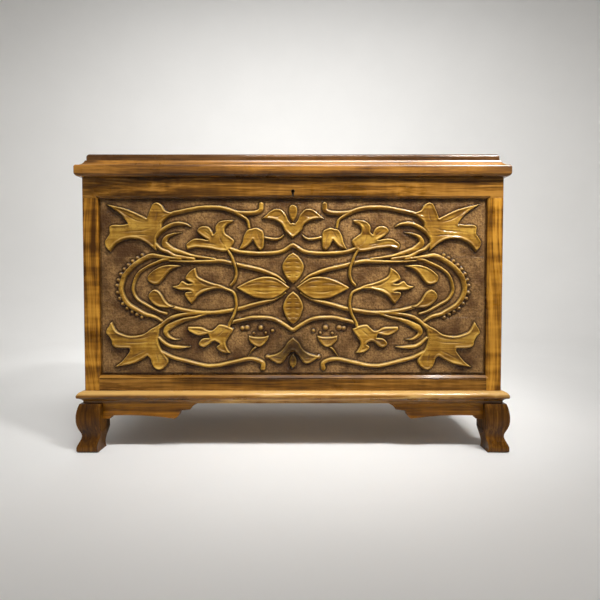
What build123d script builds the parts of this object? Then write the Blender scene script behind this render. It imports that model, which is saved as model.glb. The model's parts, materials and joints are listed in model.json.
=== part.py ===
from build123d import *
import os

# Carved blanket chest: panelled front, moulded lid on butt hinges, chest lock, plinth on ogee feet.
# Millimetres. X runs along the front (+X on the right of someone facing it), the front faces -Y, Z is up.
# The origin is on the floor, under the middle of the whole chest.

# ---------------------------------------------------------------- driving sizes: carcass
carcass_width = 976.0
carcass_depth = 460.0
carcass_height = 496.0
end_thickness = 20.0
back_thickness = 18.0
back_rebate = 10.0            # how far the back boards reach into each end
back_board_count = 3
back_tongue_height = 6.0
back_tongue_thickness = 6.0
tongue_end_gap = 1.0          # empty depth left at the bottom of every long groove
corner_radius = 3.0           # rounding of the front corners

# ---------------------------------------------------------------- driving sizes: front frame and panel
frame_thickness = 22.0
stile_width = 35.0
top_rail_height = 47.5
bottom_rail_height = 35.5
frame_bevel = 4.5             # bevel round the panel opening, across the face and into it
sill_bevel_height = 6.5       # the lower bevel is taller, like a sill
sill_quirk_height = 2.5       # groove below the sill bevel
sill_quirk_depth = 2.0
tenon_length = 25.0
tenon_thickness = 7.0
tenon_setback = 5.0           # from the front face to the tenons
stile_tenon_shoulder = 8.0    # from each edge of the stile to its tenon
panel_groove_depth = 8.0
panel_tongue_thickness = 6.0
panel_tongue_setback = 13.0   # from the front face to the tongue
panel_ground_setback = 9.0    # from the front face to the sunk ground of the carving
panel_back_setback = 21.0     # from the front face to the back of the panel
panel_margin = 5.0            # sunk channel between the frame and the panel's field
panel_board_count = 3
rail_tenon_shoulder = 5.0     # from the lower edge of the bottom rail to its tenons
rail_tenon_drop = 2.0         # from the panel groove down to the bottom rail's tenons
end_tongue_thickness = 6.0
end_tongue_length = 6.0
end_tongue_setback = 7.0      # from the outer face of the end to its tongue

# ---------------------------------------------------------------- driving sizes: carving on the panel
carving_height = 5.5          # of the relief over the sunk ground
drawing_half_width = 448.0    # field that the carving is drawn for, spread over the panel's own field
drawing_half_height = 201.5
strap_width = 10.5
fringe_width = 13.0           # of the outer ring, which carries the fringe
stem_width = 8.0
curl_width = 12.5
curl_taper = 0.4

# ---------------------------------------------------------------- driving sizes: bottom
bearer_size = 20.0
bottom_thickness = 12.0
bottom_board_count = 3
bottom_board_gap = 1.0

# ---------------------------------------------------------------- driving sizes: plinth, feet, wings
plinth_height = 29.5
plinth_projection = 14.5      # of the nose, from the carcass face
plinth_inset = 46.0           # how far the plinth frame reaches in under the carcass
plinth_nose_level = 17.5      # from the underside of the plinth
plinth_nose_round = 4.0       # height of the rounding under the nose
plinth_nose_return = 1.5      # from the nose in to the foot of that rounding
plinth_cove_height = 7.5
plinth_cove_radius = 16.0
plinth_fillet = 2.5           # projection of the small fillet under the cove
foot_height = 113.0
foot_projection = 15.0        # of the bulge, from the carcass face
foot_inset = 41.0             # how far the foot reaches in under the carcass
foot_head_setback = 6.0       # from the bulge back to the head, under the plinth
foot_bulge_level = 83.0
foot_neck_level = 36.0
foot_neck_setback = 9.5       # from the bulge back to the neck
foot_toe_level = 12.0
foot_toe_setback = 0.5        # from the bulge back to the toe
foot_sole_rounding = 4.0
foot_inner_taper = 8.0        # how far the inner face draws in at the toe
foot_inner_kick = 1.5         # how far the inner face spreads again at the floor
foot_inner_upright = 5.0      # upright stretch of the inner face below the wing
dowel_radius = 6.0
dowel_length = 48.0
dowel_depth_in_foot = 24.0
wing_thickness = 18.0
wing_setback = 3.0            # from the carcass face to the wing
wing_height = 38.0            # below the plinth, at the foot
wing_toe_length = 17.0        # nearly level edge beside the foot
wing_toe_rise = 1.0
wing_step_length = 7.0        # small round step up to the arch
wing_step_radius = 7.0
wing_arch_rise = 8.0          # of the shallow arch, above the foot of the wing
wing_scroll_length = 13.0     # hollow scroll past the cusp
wing_scroll_rise = 19.0
wing_scroll_radius = 20.0
wing_quirk_length = 24.0      # nearly level stretch between the two scrolls
wing_quirk_rise = 3.0
wing_tail_length = 25.0       # last scroll, up to the plinth
wing_tail_radius = 32.0
front_wing_flat = 144.0       # shallow arch of a front wing, from its step to its cusp
side_wing_flat = 70.0

# ---------------------------------------------------------------- driving sizes: lid
lid_gap = 0.5
lid_overhang = 12.5           # of the lid's nose, from the carcass face
lid_rail_inset = 42.5         # how far the lid's front and end rails reach in from the carcass face
lid_back_rail_width = 55.0
lid_rail_height = 39.5
lid_nose_rounding = 8.0       # under the nose, back to the flat underside
lid_nose_crown = 20.5         # top of the nose's upright face, from the underside of the lid
lid_arris_level = 26.0        # top edge of the nose
lid_arris_setback = 3.0       # from the nose
lid_arris_quirk = 1.5         # flat left between the nose and the shoulder
lid_top_thickness = 16.5
lid_top_setback = 7.0         # from the carcass face in to the raised top
lid_shoulder_swell = 2.6      # of the rounded shoulder, out from its chord
lid_shoulder_quirk = 1.5      # flat left between the shoulder and the raised top
lid_top_rounding = 8.0
lid_top_corner = 4.0
batten_width = 45.0
batten_thickness = 18.0
batten_inset = 248.0          # from each end of the carcass to the middle of its batten

# ---------------------------------------------------------------- driving sizes: hinges and screws
hinge_inset = 188.0           # from each end of the carcass to the middle of its hinge
hinge_length = 70.0
hinge_leaf_width = 16.0
hinge_leaf_thickness = 2.0
knuckle_radius = 4.5
knuckle_count = 5
knuckle_gap = 0.5
knuckle_clearance = 0.3       # from the knuckles to the back of the chest
hinge_pin_radius = 2.0
hinge_pin_clearance = 0.05    # running clearance in the lid's knuckles
hinge_pin_head = 1.5
hinge_pin_head_radius = 3.5
screw_head_radius = 3.6
screw_shank_radius = 1.8
screw_length = 14.0
screw_slot_width = 0.8
screw_slot_depth = 0.9
hinge_screw_spacing = 24.0

# ---------------------------------------------------------------- driving sizes: lock
lock_width = 76.0
lock_height = 46.5
lock_thickness = 16.0
lock_wall = 1.5
lock_inset = 3.0              # how far the case is let into the back of the rail
selvedge_width = 96.0
selvedge_thickness = 2.0
selvedge_front = 5.0          # how far the selvedge reaches forward of the case
lock_screw_position = 43.0
lock_screw_length = 12.0
keyhole_radius = 3.5
keyhole_slot_width = 3.6
keyhole_top_drop = 32.0       # from the top of the rail to the middle of the round
keyhole_slot_drop = 11.5      # from the middle of the round to the foot of the slot
escutcheon_wall = 0.9
escutcheon_depth = 6.0
bolt_throw = 8.0
bolt_thickness = 4.0
bolt_spine_height = 9.0
bolt_spine_drop = 26.0        # from the top of the carcass to the underside of the spine
bolt_finger_height = 4.0
bolt_finger_length = 8.0
bolt_riser_width = 4.0
bolt_clearance = 0.4
talon_width = 8.0
talon_depth = 4.0
guide_pin_radius = 1.5
guide_pin_positions = (-13.0, -1.0)
spring_thickness = 0.6
spring_width = 6.0
spring_left = -13.0
spring_right = 1.0
spring_tail = 4.0             # flat end of the spring, fixed under the selvedge
spring_sag = 2.0
staple_position = 20.0        # from the middle of the lock to each staple
staple_thickness = 3.0
staple_width = 9.0
staple_drop = 15.0            # below the underside of the lid
staple_wall = 2.0
staple_hole_drop = 5.0        # from the underside of the lid to the staple's eye
staple_clearance = 1.2
staple_to_finger = 1.5        # from the unlocked finger to its staple
link_plate_length = 70.0
link_plate_width = 16.0
link_plate_thickness = 2.0
link_screw_position = 29.0
link_screw_length = 14.0

# ---------------------------------------------------------------- planes and levels that follow
half_width = carcass_width / 2
overall_depth = foot_projection + carcass_depth + knuckle_clearance + 2 * knuckle_radius
front_y = foot_projection - overall_depth / 2
back_y = front_y + carcass_depth
carcass_bottom = foot_height + plinth_height
carcass_top = carcass_bottom + carcass_height
lid_bottom = carcass_top + lid_gap
lid_rail_top = lid_bottom + lid_rail_height
opening_half = half_width - stile_width
opening_bottom = carcass_bottom + bottom_rail_height
opening_top = carcass_top - top_rail_height
frame_back = front_y + frame_thickness
inner_half = half_width - end_thickness
back_inner = back_y - back_thickness


def span(middle, size):
    """Low and high limits of a size about its middle."""
    return (middle - size / 2, middle + size / 2)


def between(low, high, share):
    """The value a share of the way from one value to another."""
    return low + (high - low) * share


def ordered(first, second):
    """Two limits, the lower one first."""
    return (min(first, second), max(first, second))


def block(x, y, z, mode=Mode.ADD):
    """Add or cut a straight-sided block between low and high limits, in the part being built."""
    middles = [(low + high) / 2 for low, high in (x, y, z)]
    sizes = [high - low for low, high in (x, y, z)]
    with Locations(Location(tuple(middles))):
        Box(*sizes, mode=mode)


def section_plane(start, outward):
    """Plane of an upright section: its X points outward and its Y up, and it runs along its normal."""
    return Plane(origin=start, x_dir=outward, z_dir=Vector(*outward).cross(Vector(0, 0, 1)))


def moulding(section, start, outward, length):
    """A straight moulding of the given section, from its start along its run."""
    with BuildPart() as piece:
        with BuildSketch(section_plane(start, outward)):
            add(section)
        extrude(amount=length)
    return piece.part


def mitre_plane(side, projection):
    """Upright plane of the front mitre on one side; its normal points to the front piece."""
    corner = (side * (half_width + projection), front_y - projection, 0)
    return Plane(origin=corner, z_dir=(-side, -1, 0))


def screw_body(head, direction, length):
    """A countersunk wood screw without its slot, from the middle of its head into the wood."""
    sink = screw_head_radius - screw_shank_radius
    from_head = (Align.CENTER, Align.CENTER, Align.MIN)
    with BuildPart(Plane(origin=head, z_dir=direction)) as piece:
        Cone(screw_head_radius, screw_shank_radius, sink, align=from_head)
        with Locations((0, 0, sink)):
            Cylinder(screw_shank_radius, length - sink, align=from_head)
    return piece.part


def wood_screw(head, direction, length):
    """A countersunk wood screw with its slot."""
    with BuildPart(Plane(origin=head, z_dir=direction)) as piece:
        add(Plane(origin=head, z_dir=direction).to_local_coords(screw_body(head, direction, length)))
        Box(2 * screw_head_radius, screw_slot_width, 2 * screw_slot_depth, mode=Mode.SUBTRACT)
    return piece.part


# ================================================================ hinge and lock positions
hinge_axis_y = back_y + knuckle_clearance + knuckle_radius
hinge_axis_z = carcass_top + lid_gap / 2
hinge_screw_y = back_y - hinge_leaf_width / 2
hinge_position = half_width - hinge_inset
hinge_middles = (-hinge_position, hinge_position)
hinge_screw_places = [
    middle + step * hinge_screw_spacing for middle in hinge_middles for step in (-1, 0, 1)
]
lock_front = frame_back - lock_inset
lock_back = lock_front + lock_thickness
lock_middle_y = (lock_front + lock_back) / 2
lock_bottom = carcass_top - lock_height
lock_inside_front = lock_front + lock_wall
lock_inside_back = lock_back - lock_wall
selvedge_bottom = carcass_top - selvedge_thickness
keyhole_level = carcass_top - keyhole_top_drop
down, up = (0, 0, -1), (0, 0, 1)

carcass_hinge_screws = [((x, hinge_screw_y, carcass_top), down) for x in hinge_screw_places]
lid_hinge_screws = [((x, hinge_screw_y, lid_bottom), up) for x in hinge_screw_places]
selvedge_screw_y = lock_front + selvedge_front / 2
selvedge_screws = [
    ((side * lock_screw_position, selvedge_screw_y, carcass_top), down) for side in (-1, 1)
]
link_screws = [((side * link_screw_position, lock_middle_y, lid_bottom), up) for side in (-1, 1)]

# ================================================================ front frame
with BuildPart() as opening_bevel:
    # Cutter for the bevel round the panel opening, mitred in its corners.
    with BuildSketch(Plane.XZ.offset(-front_y)):
        low, high = opening_bottom - sill_bevel_height, opening_top + frame_bevel
        with Locations((0, (low + high) / 2)):
            Rectangle(2 * (opening_half + frame_bevel), high - low)
    with BuildSketch(Plane.XZ.offset(-front_y - frame_bevel)):
        with Locations((0, (opening_bottom + opening_top) / 2)):
            Rectangle(2 * opening_half, opening_top - opening_bottom)
    loft()

with BuildSketch() as keyhole:
    # Round above, slot below, about the middle of the round.
    Circle(keyhole_radius)
    with Locations((0, -keyhole_slot_drop / 2)):
        Rectangle(keyhole_slot_width, keyhole_slot_drop)

with BuildSketch() as keyhole_rim:
    add(keyhole.sketch)
    offset(amount=escutcheon_wall, kind=Kind.INTERSECTION)

keyhole_plane = Plane(origin=(0, front_y, keyhole_level), x_dir=(1, 0, 0), z_dir=(0, -1, 0))
tenon_y = (front_y + tenon_setback, front_y + tenon_setback + tenon_thickness)
tongue_y = (front_y + panel_tongue_setback, front_y + panel_tongue_setback + panel_tongue_thickness)
groove_half = opening_half + panel_groove_depth
groove_z = (opening_bottom - panel_groove_depth, opening_top + panel_groove_depth)
end_tongue_y = (frame_back - end_tongue_length, frame_back)
end_groove_y = (frame_back - end_tongue_length - tongue_end_gap, frame_back)


def end_tongue_x(side):
    """Limits across the tongue that joins an end to the front frame."""
    outer = side * (half_width - end_tongue_setback)
    return ordered(outer, outer - side * end_tongue_thickness)


def stile_tenon_x(side):
    """Limits across the tenon at the head of a stile."""
    outer = side * (half_width - stile_tenon_shoulder)
    inner = side * (opening_half + stile_tenon_shoulder)
    return ordered(outer, inner)


stile_tenon_z = (opening_top, opening_top + tenon_length)
rail_tenon_z = (
    carcass_bottom + rail_tenon_shoulder,
    opening_bottom - panel_groove_depth - rail_tenon_drop,
)
lock_pocket_x = span(0, lock_width)
selvedge_x = span(0, selvedge_width)
selvedge_y = (lock_front - selvedge_front, lock_back)

with BuildPart() as front_top_rail:
    with BuildSketch(Plane.XY.offset(opening_top)) as rail_plan:
        with Locations((0, (front_y + frame_back) / 2)):
            Rectangle(carcass_width, frame_thickness)
        fillet(rail_plan.vertices().group_by(Axis.Y)[0], radius=corner_radius)
    extrude(amount=top_rail_height)
    add(opening_bevel.part, mode=Mode.SUBTRACT)
    block((-groove_half, groove_half), tongue_y, (opening_top, groove_z[1]), Mode.SUBTRACT)
    for side in (-1, 1):
        block(stile_tenon_x(side), tenon_y, stile_tenon_z, Mode.SUBTRACT)
        block(end_tongue_x(side), end_groove_y, (opening_top, carcass_top), Mode.SUBTRACT)
    block(lock_pocket_x, (lock_front, frame_back), (lock_bottom, carcass_top), Mode.SUBTRACT)
    block(selvedge_x, (selvedge_y[0], frame_back), (selvedge_bottom, carcass_top), Mode.SUBTRACT)
    with BuildSketch(keyhole_plane):
        add(keyhole_rim.sketch)
    extrude(amount=-escutcheon_depth, mode=Mode.SUBTRACT)
    with BuildSketch(keyhole_plane):
        add(keyhole.sketch)
    extrude(amount=-frame_thickness, mode=Mode.SUBTRACT)
    for head, direction in selvedge_screws:
        add(screw_body(head, direction, lock_screw_length), mode=Mode.SUBTRACT)

with BuildPart() as front_bottom_rail:
    block((-opening_half, opening_half), (front_y, frame_back), (carcass_bottom, opening_bottom))
    add(opening_bevel.part, mode=Mode.SUBTRACT)
    quirk_top = opening_bottom - sill_bevel_height
    block(
        (-opening_half, opening_half),
        (front_y, front_y + sill_quirk_depth),
        (quirk_top - sill_quirk_height, quirk_top),
        Mode.SUBTRACT,
    )
    block((-opening_half, opening_half), tongue_y, (groove_z[0], opening_bottom), Mode.SUBTRACT)
    for side in (-1, 1):
        tenon_x = ordered(side * opening_half, side * (opening_half + tenon_length))
        block(tenon_x, tenon_y, rail_tenon_z)


def front_stile(side):
    """A front stile, with its groove for the panel, its tenon and the socket of the bottom rail."""
    edge, inner = side * half_width, side * opening_half
    tenon_x = ordered(inner, side * (opening_half + tenon_length))
    groove_x = ordered(inner, side * groove_half)
    with BuildPart() as piece:
        with BuildSketch(Plane.XY.offset(carcass_bottom)) as stile_plan:
            with Locations(((edge + inner) / 2, (front_y + frame_back) / 2)):
                Rectangle(stile_width, frame_thickness)
            corner = stile_plan.vertices().group_by(Axis.Y)[0].sort_by(Axis.X)[-1 if side > 0 else 0]
            fillet(corner, radius=corner_radius)
        extrude(amount=opening_top - carcass_bottom)
        add(opening_bevel.part, mode=Mode.SUBTRACT)
        block(stile_tenon_x(side), tenon_y, stile_tenon_z)
        block(groove_x, tongue_y, (groove_z[0], opening_top), Mode.SUBTRACT)
        block(tenon_x, tenon_y, rail_tenon_z, Mode.SUBTRACT)
        block(end_tongue_x(side), end_groove_y, (carcass_bottom, opening_top), Mode.SUBTRACT)
    return piece


front_left_stile = front_stile(-1)
front_right_stile = front_stile(1)

with BuildPart() as keyhole_escutcheon:
    with BuildSketch(keyhole_plane):
        add(keyhole_rim.sketch)
        add(keyhole.sketch, mode=Mode.SUBTRACT)
    extrude(amount=-escutcheon_depth)

# ================================================================ carved panel, in edge-glued boards
panel_half = opening_half + panel_groove_depth - tongue_end_gap
panel_bottom = opening_bottom - panel_groove_depth + tongue_end_gap
panel_top = opening_top + panel_groove_depth - tongue_end_gap
panel_board_height = (panel_top - panel_bottom) / panel_board_count
field_half = opening_half - panel_margin
field_bottom = opening_bottom + panel_margin
field_top = opening_top - panel_margin
field_y = (front_y + panel_ground_setback, front_y + panel_back_setback)
field_middle = (field_bottom + field_top) / 2
carving_scale = (field_half / drawing_half_width, (field_top - field_bottom) / 2 / drawing_half_height)
carving_plane = Plane(origin=(0, field_y[0], field_middle), x_dir=(1, 0, 0), z_dir=(0, -1, 0))
tip = "tip"                   # marks a sharp tip or notch in a leaf's outline


def on_field(points):
    """Points of the carving's drawing, spread over the panel's field."""
    return [(point[0] * carving_scale[0], point[1] * carving_scale[1]) for point in points]


def leaf(*points):
    """A petal or flower: smooth edges that meet at its tips, the first point being one of them."""
    tips = [index for index, point in enumerate(points) if point[2:]]
    places = on_field([*points, points[0]])
    with BuildSketch() as shape:
        with BuildLine():
            for start, stop in zip(tips, [*tips[1:], len(points)]):
                Spline(*places[start : stop + 1])
        make_face()
    return shape.sketch


def band(width, *points, taper=1.0):
    """A strap or stem along a smooth line; taper is its width at both ends, as a share of the rest."""
    with BuildLine() as path:
        Spline(*on_field(points))
    steps = 2 * len(points) - 2
    sides = ([], [])
    for step in range(steps + 1):
        share = step / steps
        half = width / 2 * (taper if step in (0, steps) else 1.0)
        out = (path.line % share).rotate(Axis.Z, 90) * half
        sides[0].append(path.line @ share + out)
        sides[1].append(path.line @ share - out)
    with BuildSketch() as shape:
        with BuildLine():
            left, right = Spline(*sides[0]), Spline(*sides[1])
            Line(left @ 0, right @ 0)
            Line(left @ 1, right @ 1)
        make_face()
    return shape.sketch


# Right half: the long straps, the two rings and the running scrolls with their curls.
side_bands = [
    band(strap_width, (18, 10), (53, 32), (100, 46), (147, 57), (205, 60), (285, 58)),
    band(strap_width, (18, -13), (53, -31), (99, -43), (162, -57), (239, -57), (305, -37), (325, -27)),
    band(fringe_width, (262, 66), (330, 74), (370, 53), (402, 5), (391, -34), (363, -55), (309, -79)),
    band(stem_width, (290, 66), (334, 51), (368, 22), (374, -8), (347, -39), (298, -62)),
    band(curl_width, (260, 128), (293, 118), (298, 99), (274, 85), (232, 73), (170, 62), taper=curl_taper),
    band(
        curl_width, (263, -123), (293, -115), (293, -95), (267, -81), (232, -71), (193, -60),
        taper=curl_taper,
    ),
    band(stem_width, (324, 104), (293, 83), (251, 69), (205, 61)),
    band(stem_width, (204, -60), (263, -65), (303, -84), (324, -105)),
    band(strap_width, (74, 193), (83, 175), (134, 175), (193, 186), (263, 176), (303, 163)),
    band(strap_width, (71, -191), (83, -172), (134, -175), (200, -185), (270, -169), (312, -151)),
    band(strap_width, (239, 141), (274, 148), (310, 129), (323, 110), taper=curl_taper),
    band(strap_width, (242, -140), (286, -139), (318, -117), taper=curl_taper),
    band(stem_width, (134, 175), (106, 157), (102, 133)),
    band(stem_width, (158, 96), (134, 45), (133, 29), (145, 5)),
    band(stem_width, (162, -4), (141, -13), (133, -37), (148, -83), (152, -97)),
]

# Right half: side petal, buds in the rings, corner lilies, inner flowers.
side_leaves = [
    leaf((8, 0, tip), (29, 15), (69, 24), (104, 14), (132, -1, tip), (106, -16), (64, -27), (29, -18)),
    leaf((262, 50, tip), (298, 51), (326, 39), (340, 22), (324, 7), (303, 20), (281, 43)),
    leaf((279, -46, tip), (314, -46), (335, -29), (333, -11), (314, -10), (300, -31)),
    leaf(
        (279, 172, tip), (297, 178), (306, 191), (317, 197), (331, 183), (340, 160, tip), (373, 176),
        (434, 193, tip), (405, 173), (384, 147, tip), (419, 145), (427, 137), (428, 121), (438, 106),
        (427, 83, tip), (405, 106), (373, 114), (342, 104), (319, 85, tip), (319, 115), (307, 138),
        (296, 158),
    ),
    leaf(
        (310, -84, tip), (345, -107), (380, -115), (409, -105), (426, -81, tip), (438, -107), (424, -125),
        (415, -142), (384, -143, tip), (394, -165), (420, -188, tip), (373, -178), (342, -161, tip),
        (329, -186), (307, -192), (293, -172), (312, -142), (317, -123),
    ),
    leaf(
        (140, 156, tip), (167, 154), (180, 141), (180, 129), (186, 122, tip), (190, 132), (208, 142),
        (222, 132), (213, 120), (197, 110, tip), (217, 113), (235, 111), (246, 88, tip), (214, 92),
        (176, 86), (151, 86), (138, 106), (157, 123), (158, 142),
    ),
    leaf(
        (140, -98, tip), (172, -88), (200, -101), (246, -93, tip), (240, -108), (222, -113),
        (199, -109, tip), (201, -121), (214, -123), (221, -134), (208, -141), (192, -130), (183, -126, tip),
        (179, -140), (147, -155, tip), (158, -137), (151, -116),
    ),
    leaf(
        (72, 132, tip), (97, 136), (113, 122), (126, 88, tip), (103, 99), (93, 111, tip), (83, 92),
        (70, 92), (68, 115),
    ),
    leaf(
        (149, -8, tip), (170, 5), (208, 17), (229, 45, tip), (250, 24), (245, 14), (234, 9, tip), (244, 7),
        (259, 14), (283, 1, tip), (259, -7), (236, -10, tip), (252, -18), (238, -39, tip), (222, -20),
        (182, -4),
    ),
]

# On the middle line: the upright petals, the cusped straps over and under them, the two tulips.
middle_motifs = [
    leaf((0, 80, tip), (25, 46), (0, 9, tip), (-25, 46)),
    leaf((0, -10, tip), (23, -48), (0, -87, tip), (-23, -48)),
    band(
        strap_width, (-154, 93), (-99, 80), (-46, 80), (-11, 92), (0, 97), (11, 92), (46, 80), (99, 80),
        (154, 93),
    ),
    band(
        strap_width, (-149, -84), (-99, -72), (-53, -73), (-15, -91), (0, -99), (15, -91), (53, -73),
        (99, -72), (149, -84),
    ),
    leaf(
        (0, 115, tip), (19, 132), (33, 152), (72, 160, tip), (53, 176), (29, 181), (12, 157), (0, 150, tip),
        (-12, 157), (-29, 181), (-53, 176), (-72, 160, tip), (-33, 152), (-19, 132),
    ),
    leaf(
        (0, -119, tip), (20, -142), (62, -162, tip), (36, -179), (13, -161), (0, -150, tip),
        (-13, -161), (-36, -179), (-62, -162, tip), (-20, -142),
    ),
]

with BuildSketch() as carving:
    add([*side_bands, *side_leaves])
    mirror(about=Plane.YZ)
    add(middle_motifs)

with BuildPart() as relief:
    with BuildSketch(carving_plane):
        add(carving.sketch)
    extrude(amount=carving_height)


def panel_board(index):
    """One board of the panel: its share of the tongue, of the thicker field and of the carving."""
    low = panel_bottom + index * panel_board_height
    high = low + panel_board_height
    field_z = (max(low, field_bottom), min(high, field_top))
    with BuildPart() as piece:
        add(relief.part)
        block((-field_half, field_half), (front_y, field_y[0]), field_z, Mode.INTERSECT)
        block((-field_half, field_half), field_y, field_z)
        block((-panel_half, panel_half), tongue_y, (low, high))
    return piece


panel_boards = [panel_board(index) for index in range(panel_board_count)]

# ================================================================ ends and back
end_joint = (carcass_bottom + carcass_top) / 2
back_rebate_half = inner_half + back_rebate


def end_board(side, rise):
    """One board of an end, tongued into the front frame and rebated for the back."""
    outer, inner = side * half_width, side * inner_half
    rebate_x = ordered(inner, side * back_rebate_half)
    with BuildPart() as piece:
        block(ordered(outer, inner), (frame_back, back_y), rise)
        block(end_tongue_x(side), end_tongue_y, rise)
        block(rebate_x, (back_inner, back_y), rise, Mode.SUBTRACT)
    return piece


left_end_lower_board = end_board(-1, (carcass_bottom, end_joint))
left_end_upper_board = end_board(-1, (end_joint, carcass_top))
right_end_lower_board = end_board(1, (carcass_bottom, end_joint))
right_end_upper_board = end_board(1, (end_joint, carcass_top))

back_board_height = carcass_height / back_board_count
back_tongue_y = span((back_inner + back_y) / 2, back_tongue_thickness)


def back_board(index):
    """One back board: a groove below and a tongue above, except at the outer edges of the back."""
    low = carcass_bottom + index * back_board_height
    high = low + back_board_height
    wide = (-back_rebate_half, back_rebate_half)
    with BuildPart() as piece:
        block(wide, (back_inner, back_y), (low, high))
        if index > 0:
            block(wide, back_tongue_y, (low, low + back_tongue_height + tongue_end_gap), Mode.SUBTRACT)
        if index < back_board_count - 1:
            block(wide, back_tongue_y, (high, high + back_tongue_height))
        else:
            for middle in hinge_middles:
                leaf_y = (back_y - hinge_leaf_width, back_y)
                leaf_z = (carcass_top - hinge_leaf_thickness, carcass_top)
                block(span(middle, hinge_length), leaf_y, leaf_z, Mode.SUBTRACT)
            for head, direction in carcass_hinge_screws:
                add(screw_body(head, direction, screw_length), mode=Mode.SUBTRACT)
    return piece


back_boards = [back_board(index) for index in range(back_board_count)]

# ================================================================ bottom on its bearers
bearer_rise = (carcass_bottom, carcass_bottom + bearer_size)
bottom_rise = (bearer_rise[1], bearer_rise[1] + bottom_thickness)
inside_y = (frame_back, back_inner)
inside_x = (-inner_half, inner_half)

with BuildPart() as bottom_bearer_front:
    block(inside_x, (inside_y[0], inside_y[0] + bearer_size), bearer_rise)

with BuildPart() as bottom_bearer_back:
    block(inside_x, (inside_y[1] - bearer_size, inside_y[1]), bearer_rise)


def end_bearer(side):
    """A bearer along an end, between the front and back bearers."""
    bearer_x = ordered(side * inner_half, side * (inner_half - bearer_size))
    with BuildPart() as piece:
        block(bearer_x, (inside_y[0] + bearer_size, inside_y[1] - bearer_size), bearer_rise)
    return piece


bottom_bearer_left = end_bearer(-1)
bottom_bearer_right = end_bearer(1)

bottom_pitch = (2 * inner_half + bottom_board_gap) / bottom_board_count


def bottom_board(index):
    """One bottom board, running from front to back."""
    low = -inner_half + index * bottom_pitch
    with BuildPart() as piece:
        block((low, low + bottom_pitch - bottom_board_gap), inside_y, bottom_rise)
    return piece


bottom_boards = [bottom_board(index) for index in range(bottom_board_count)]

# ================================================================ dowels between feet and plinth
foot_size = foot_projection + foot_inset
foot_middle = (foot_inset - foot_projection) / 2
dowel_y_front = front_y + foot_middle
dowel_y_back = back_y - foot_inset / 2
dowel_x = half_width - foot_middle
dowel_z = foot_height - dowel_depth_in_foot


def dowel(side, y):
    """The dowel that stands in a foot and reaches up into the plinth."""
    with BuildPart(Plane.XY.offset(dowel_z)) as piece:
        with Locations((side * dowel_x, y)):
            Cylinder(dowel_radius, dowel_length, align=(Align.CENTER, Align.CENTER, Align.MIN))
    return piece.part


with BuildPart() as foot_dowels:
    for side in (-1, 1):
        add(dowel(side, dowel_y_front))
        add(dowel(side, dowel_y_back))

# ================================================================ plinth frame
nose = (plinth_projection, plinth_nose_level)
nose_foot = (plinth_projection - plinth_nose_return, plinth_nose_level - plinth_nose_round)
cove_foot = (plinth_fillet, nose_foot[1] - plinth_cove_height)
with BuildSketch() as plinth_section:
    # X outward from the carcass face, Y up from the underside.
    with BuildLine():
        Polyline(
            (0, plinth_height), (-plinth_inset, plinth_height), (-plinth_inset, 0),
            (plinth_fillet, 0), cove_foot,
        )
        RadiusArc(cove_foot, nose_foot, plinth_cove_radius)
        TangentArc(nose, nose_foot, tangent=(0, -1))
        EllipticalCenterArc(
            (0, plinth_nose_level),
            plinth_projection,
            plinth_height - plinth_nose_level,
            start_angle=0,
            arc_size=90,
        )
    make_face()

plinth_run = carcass_depth + plinth_projection
left_side, right_side, front_side = (-1, 0, 0), (1, 0, 0), (0, -1, 0)
plinth_half = half_width + plinth_projection

with BuildPart() as plinth_front:
    add(moulding(plinth_section.sketch, (plinth_half, front_y, foot_height), front_side, 2 * plinth_half))
    split(bisect_by=mitre_plane(-1, plinth_projection), keep=Keep.TOP)
    split(bisect_by=mitre_plane(1, plinth_projection), keep=Keep.TOP)
    add(foot_dowels.part, mode=Mode.SUBTRACT)

with BuildPart() as plinth_left:
    left_start = (-half_width, front_y - plinth_projection, foot_height)
    add(moulding(plinth_section.sketch, left_start, left_side, plinth_run))
    split(bisect_by=mitre_plane(-1, plinth_projection), keep=Keep.BOTTOM)
    add(foot_dowels.part, mode=Mode.SUBTRACT)

with BuildPart() as plinth_right:
    add(moulding(plinth_section.sketch, (half_width, back_y, foot_height), right_side, plinth_run))
    split(bisect_by=mitre_plane(1, plinth_projection), keep=Keep.BOTTOM)
    add(foot_dowels.part, mode=Mode.SUBTRACT)

with BuildPart() as plinth_back:
    plinth_inner_half = half_width - plinth_inset
    block(
        (-plinth_inner_half, plinth_inner_half),
        (back_y - plinth_inset, back_y),
        (foot_height, foot_height + plinth_height),
    )

# ================================================================ feet
bulge = foot_projection
# Points of the ogee between its named levels: share of the height, share of the setback.
ogee_shoulder = (0.57, 0.36)
ogee_flank = (0.38, 0.12)
ogee_waist = (0.66, 0.53)
ogee_ankle = (0.375, 0.73)
ogee_instep = (0.75, 0.27)
foot_inner_head = (-foot_inset, foot_height)
foot_inner_drop = (-foot_inset, foot_height - wing_height - foot_inner_upright)
foot_inner_neck = (-foot_inset + foot_inner_taper / 2.5, foot_neck_level)
foot_inner_toe = (-foot_inset + foot_inner_taper, foot_toe_level)
foot_inner_sole = (foot_inner_toe[0] - foot_inner_kick, 0)


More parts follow.
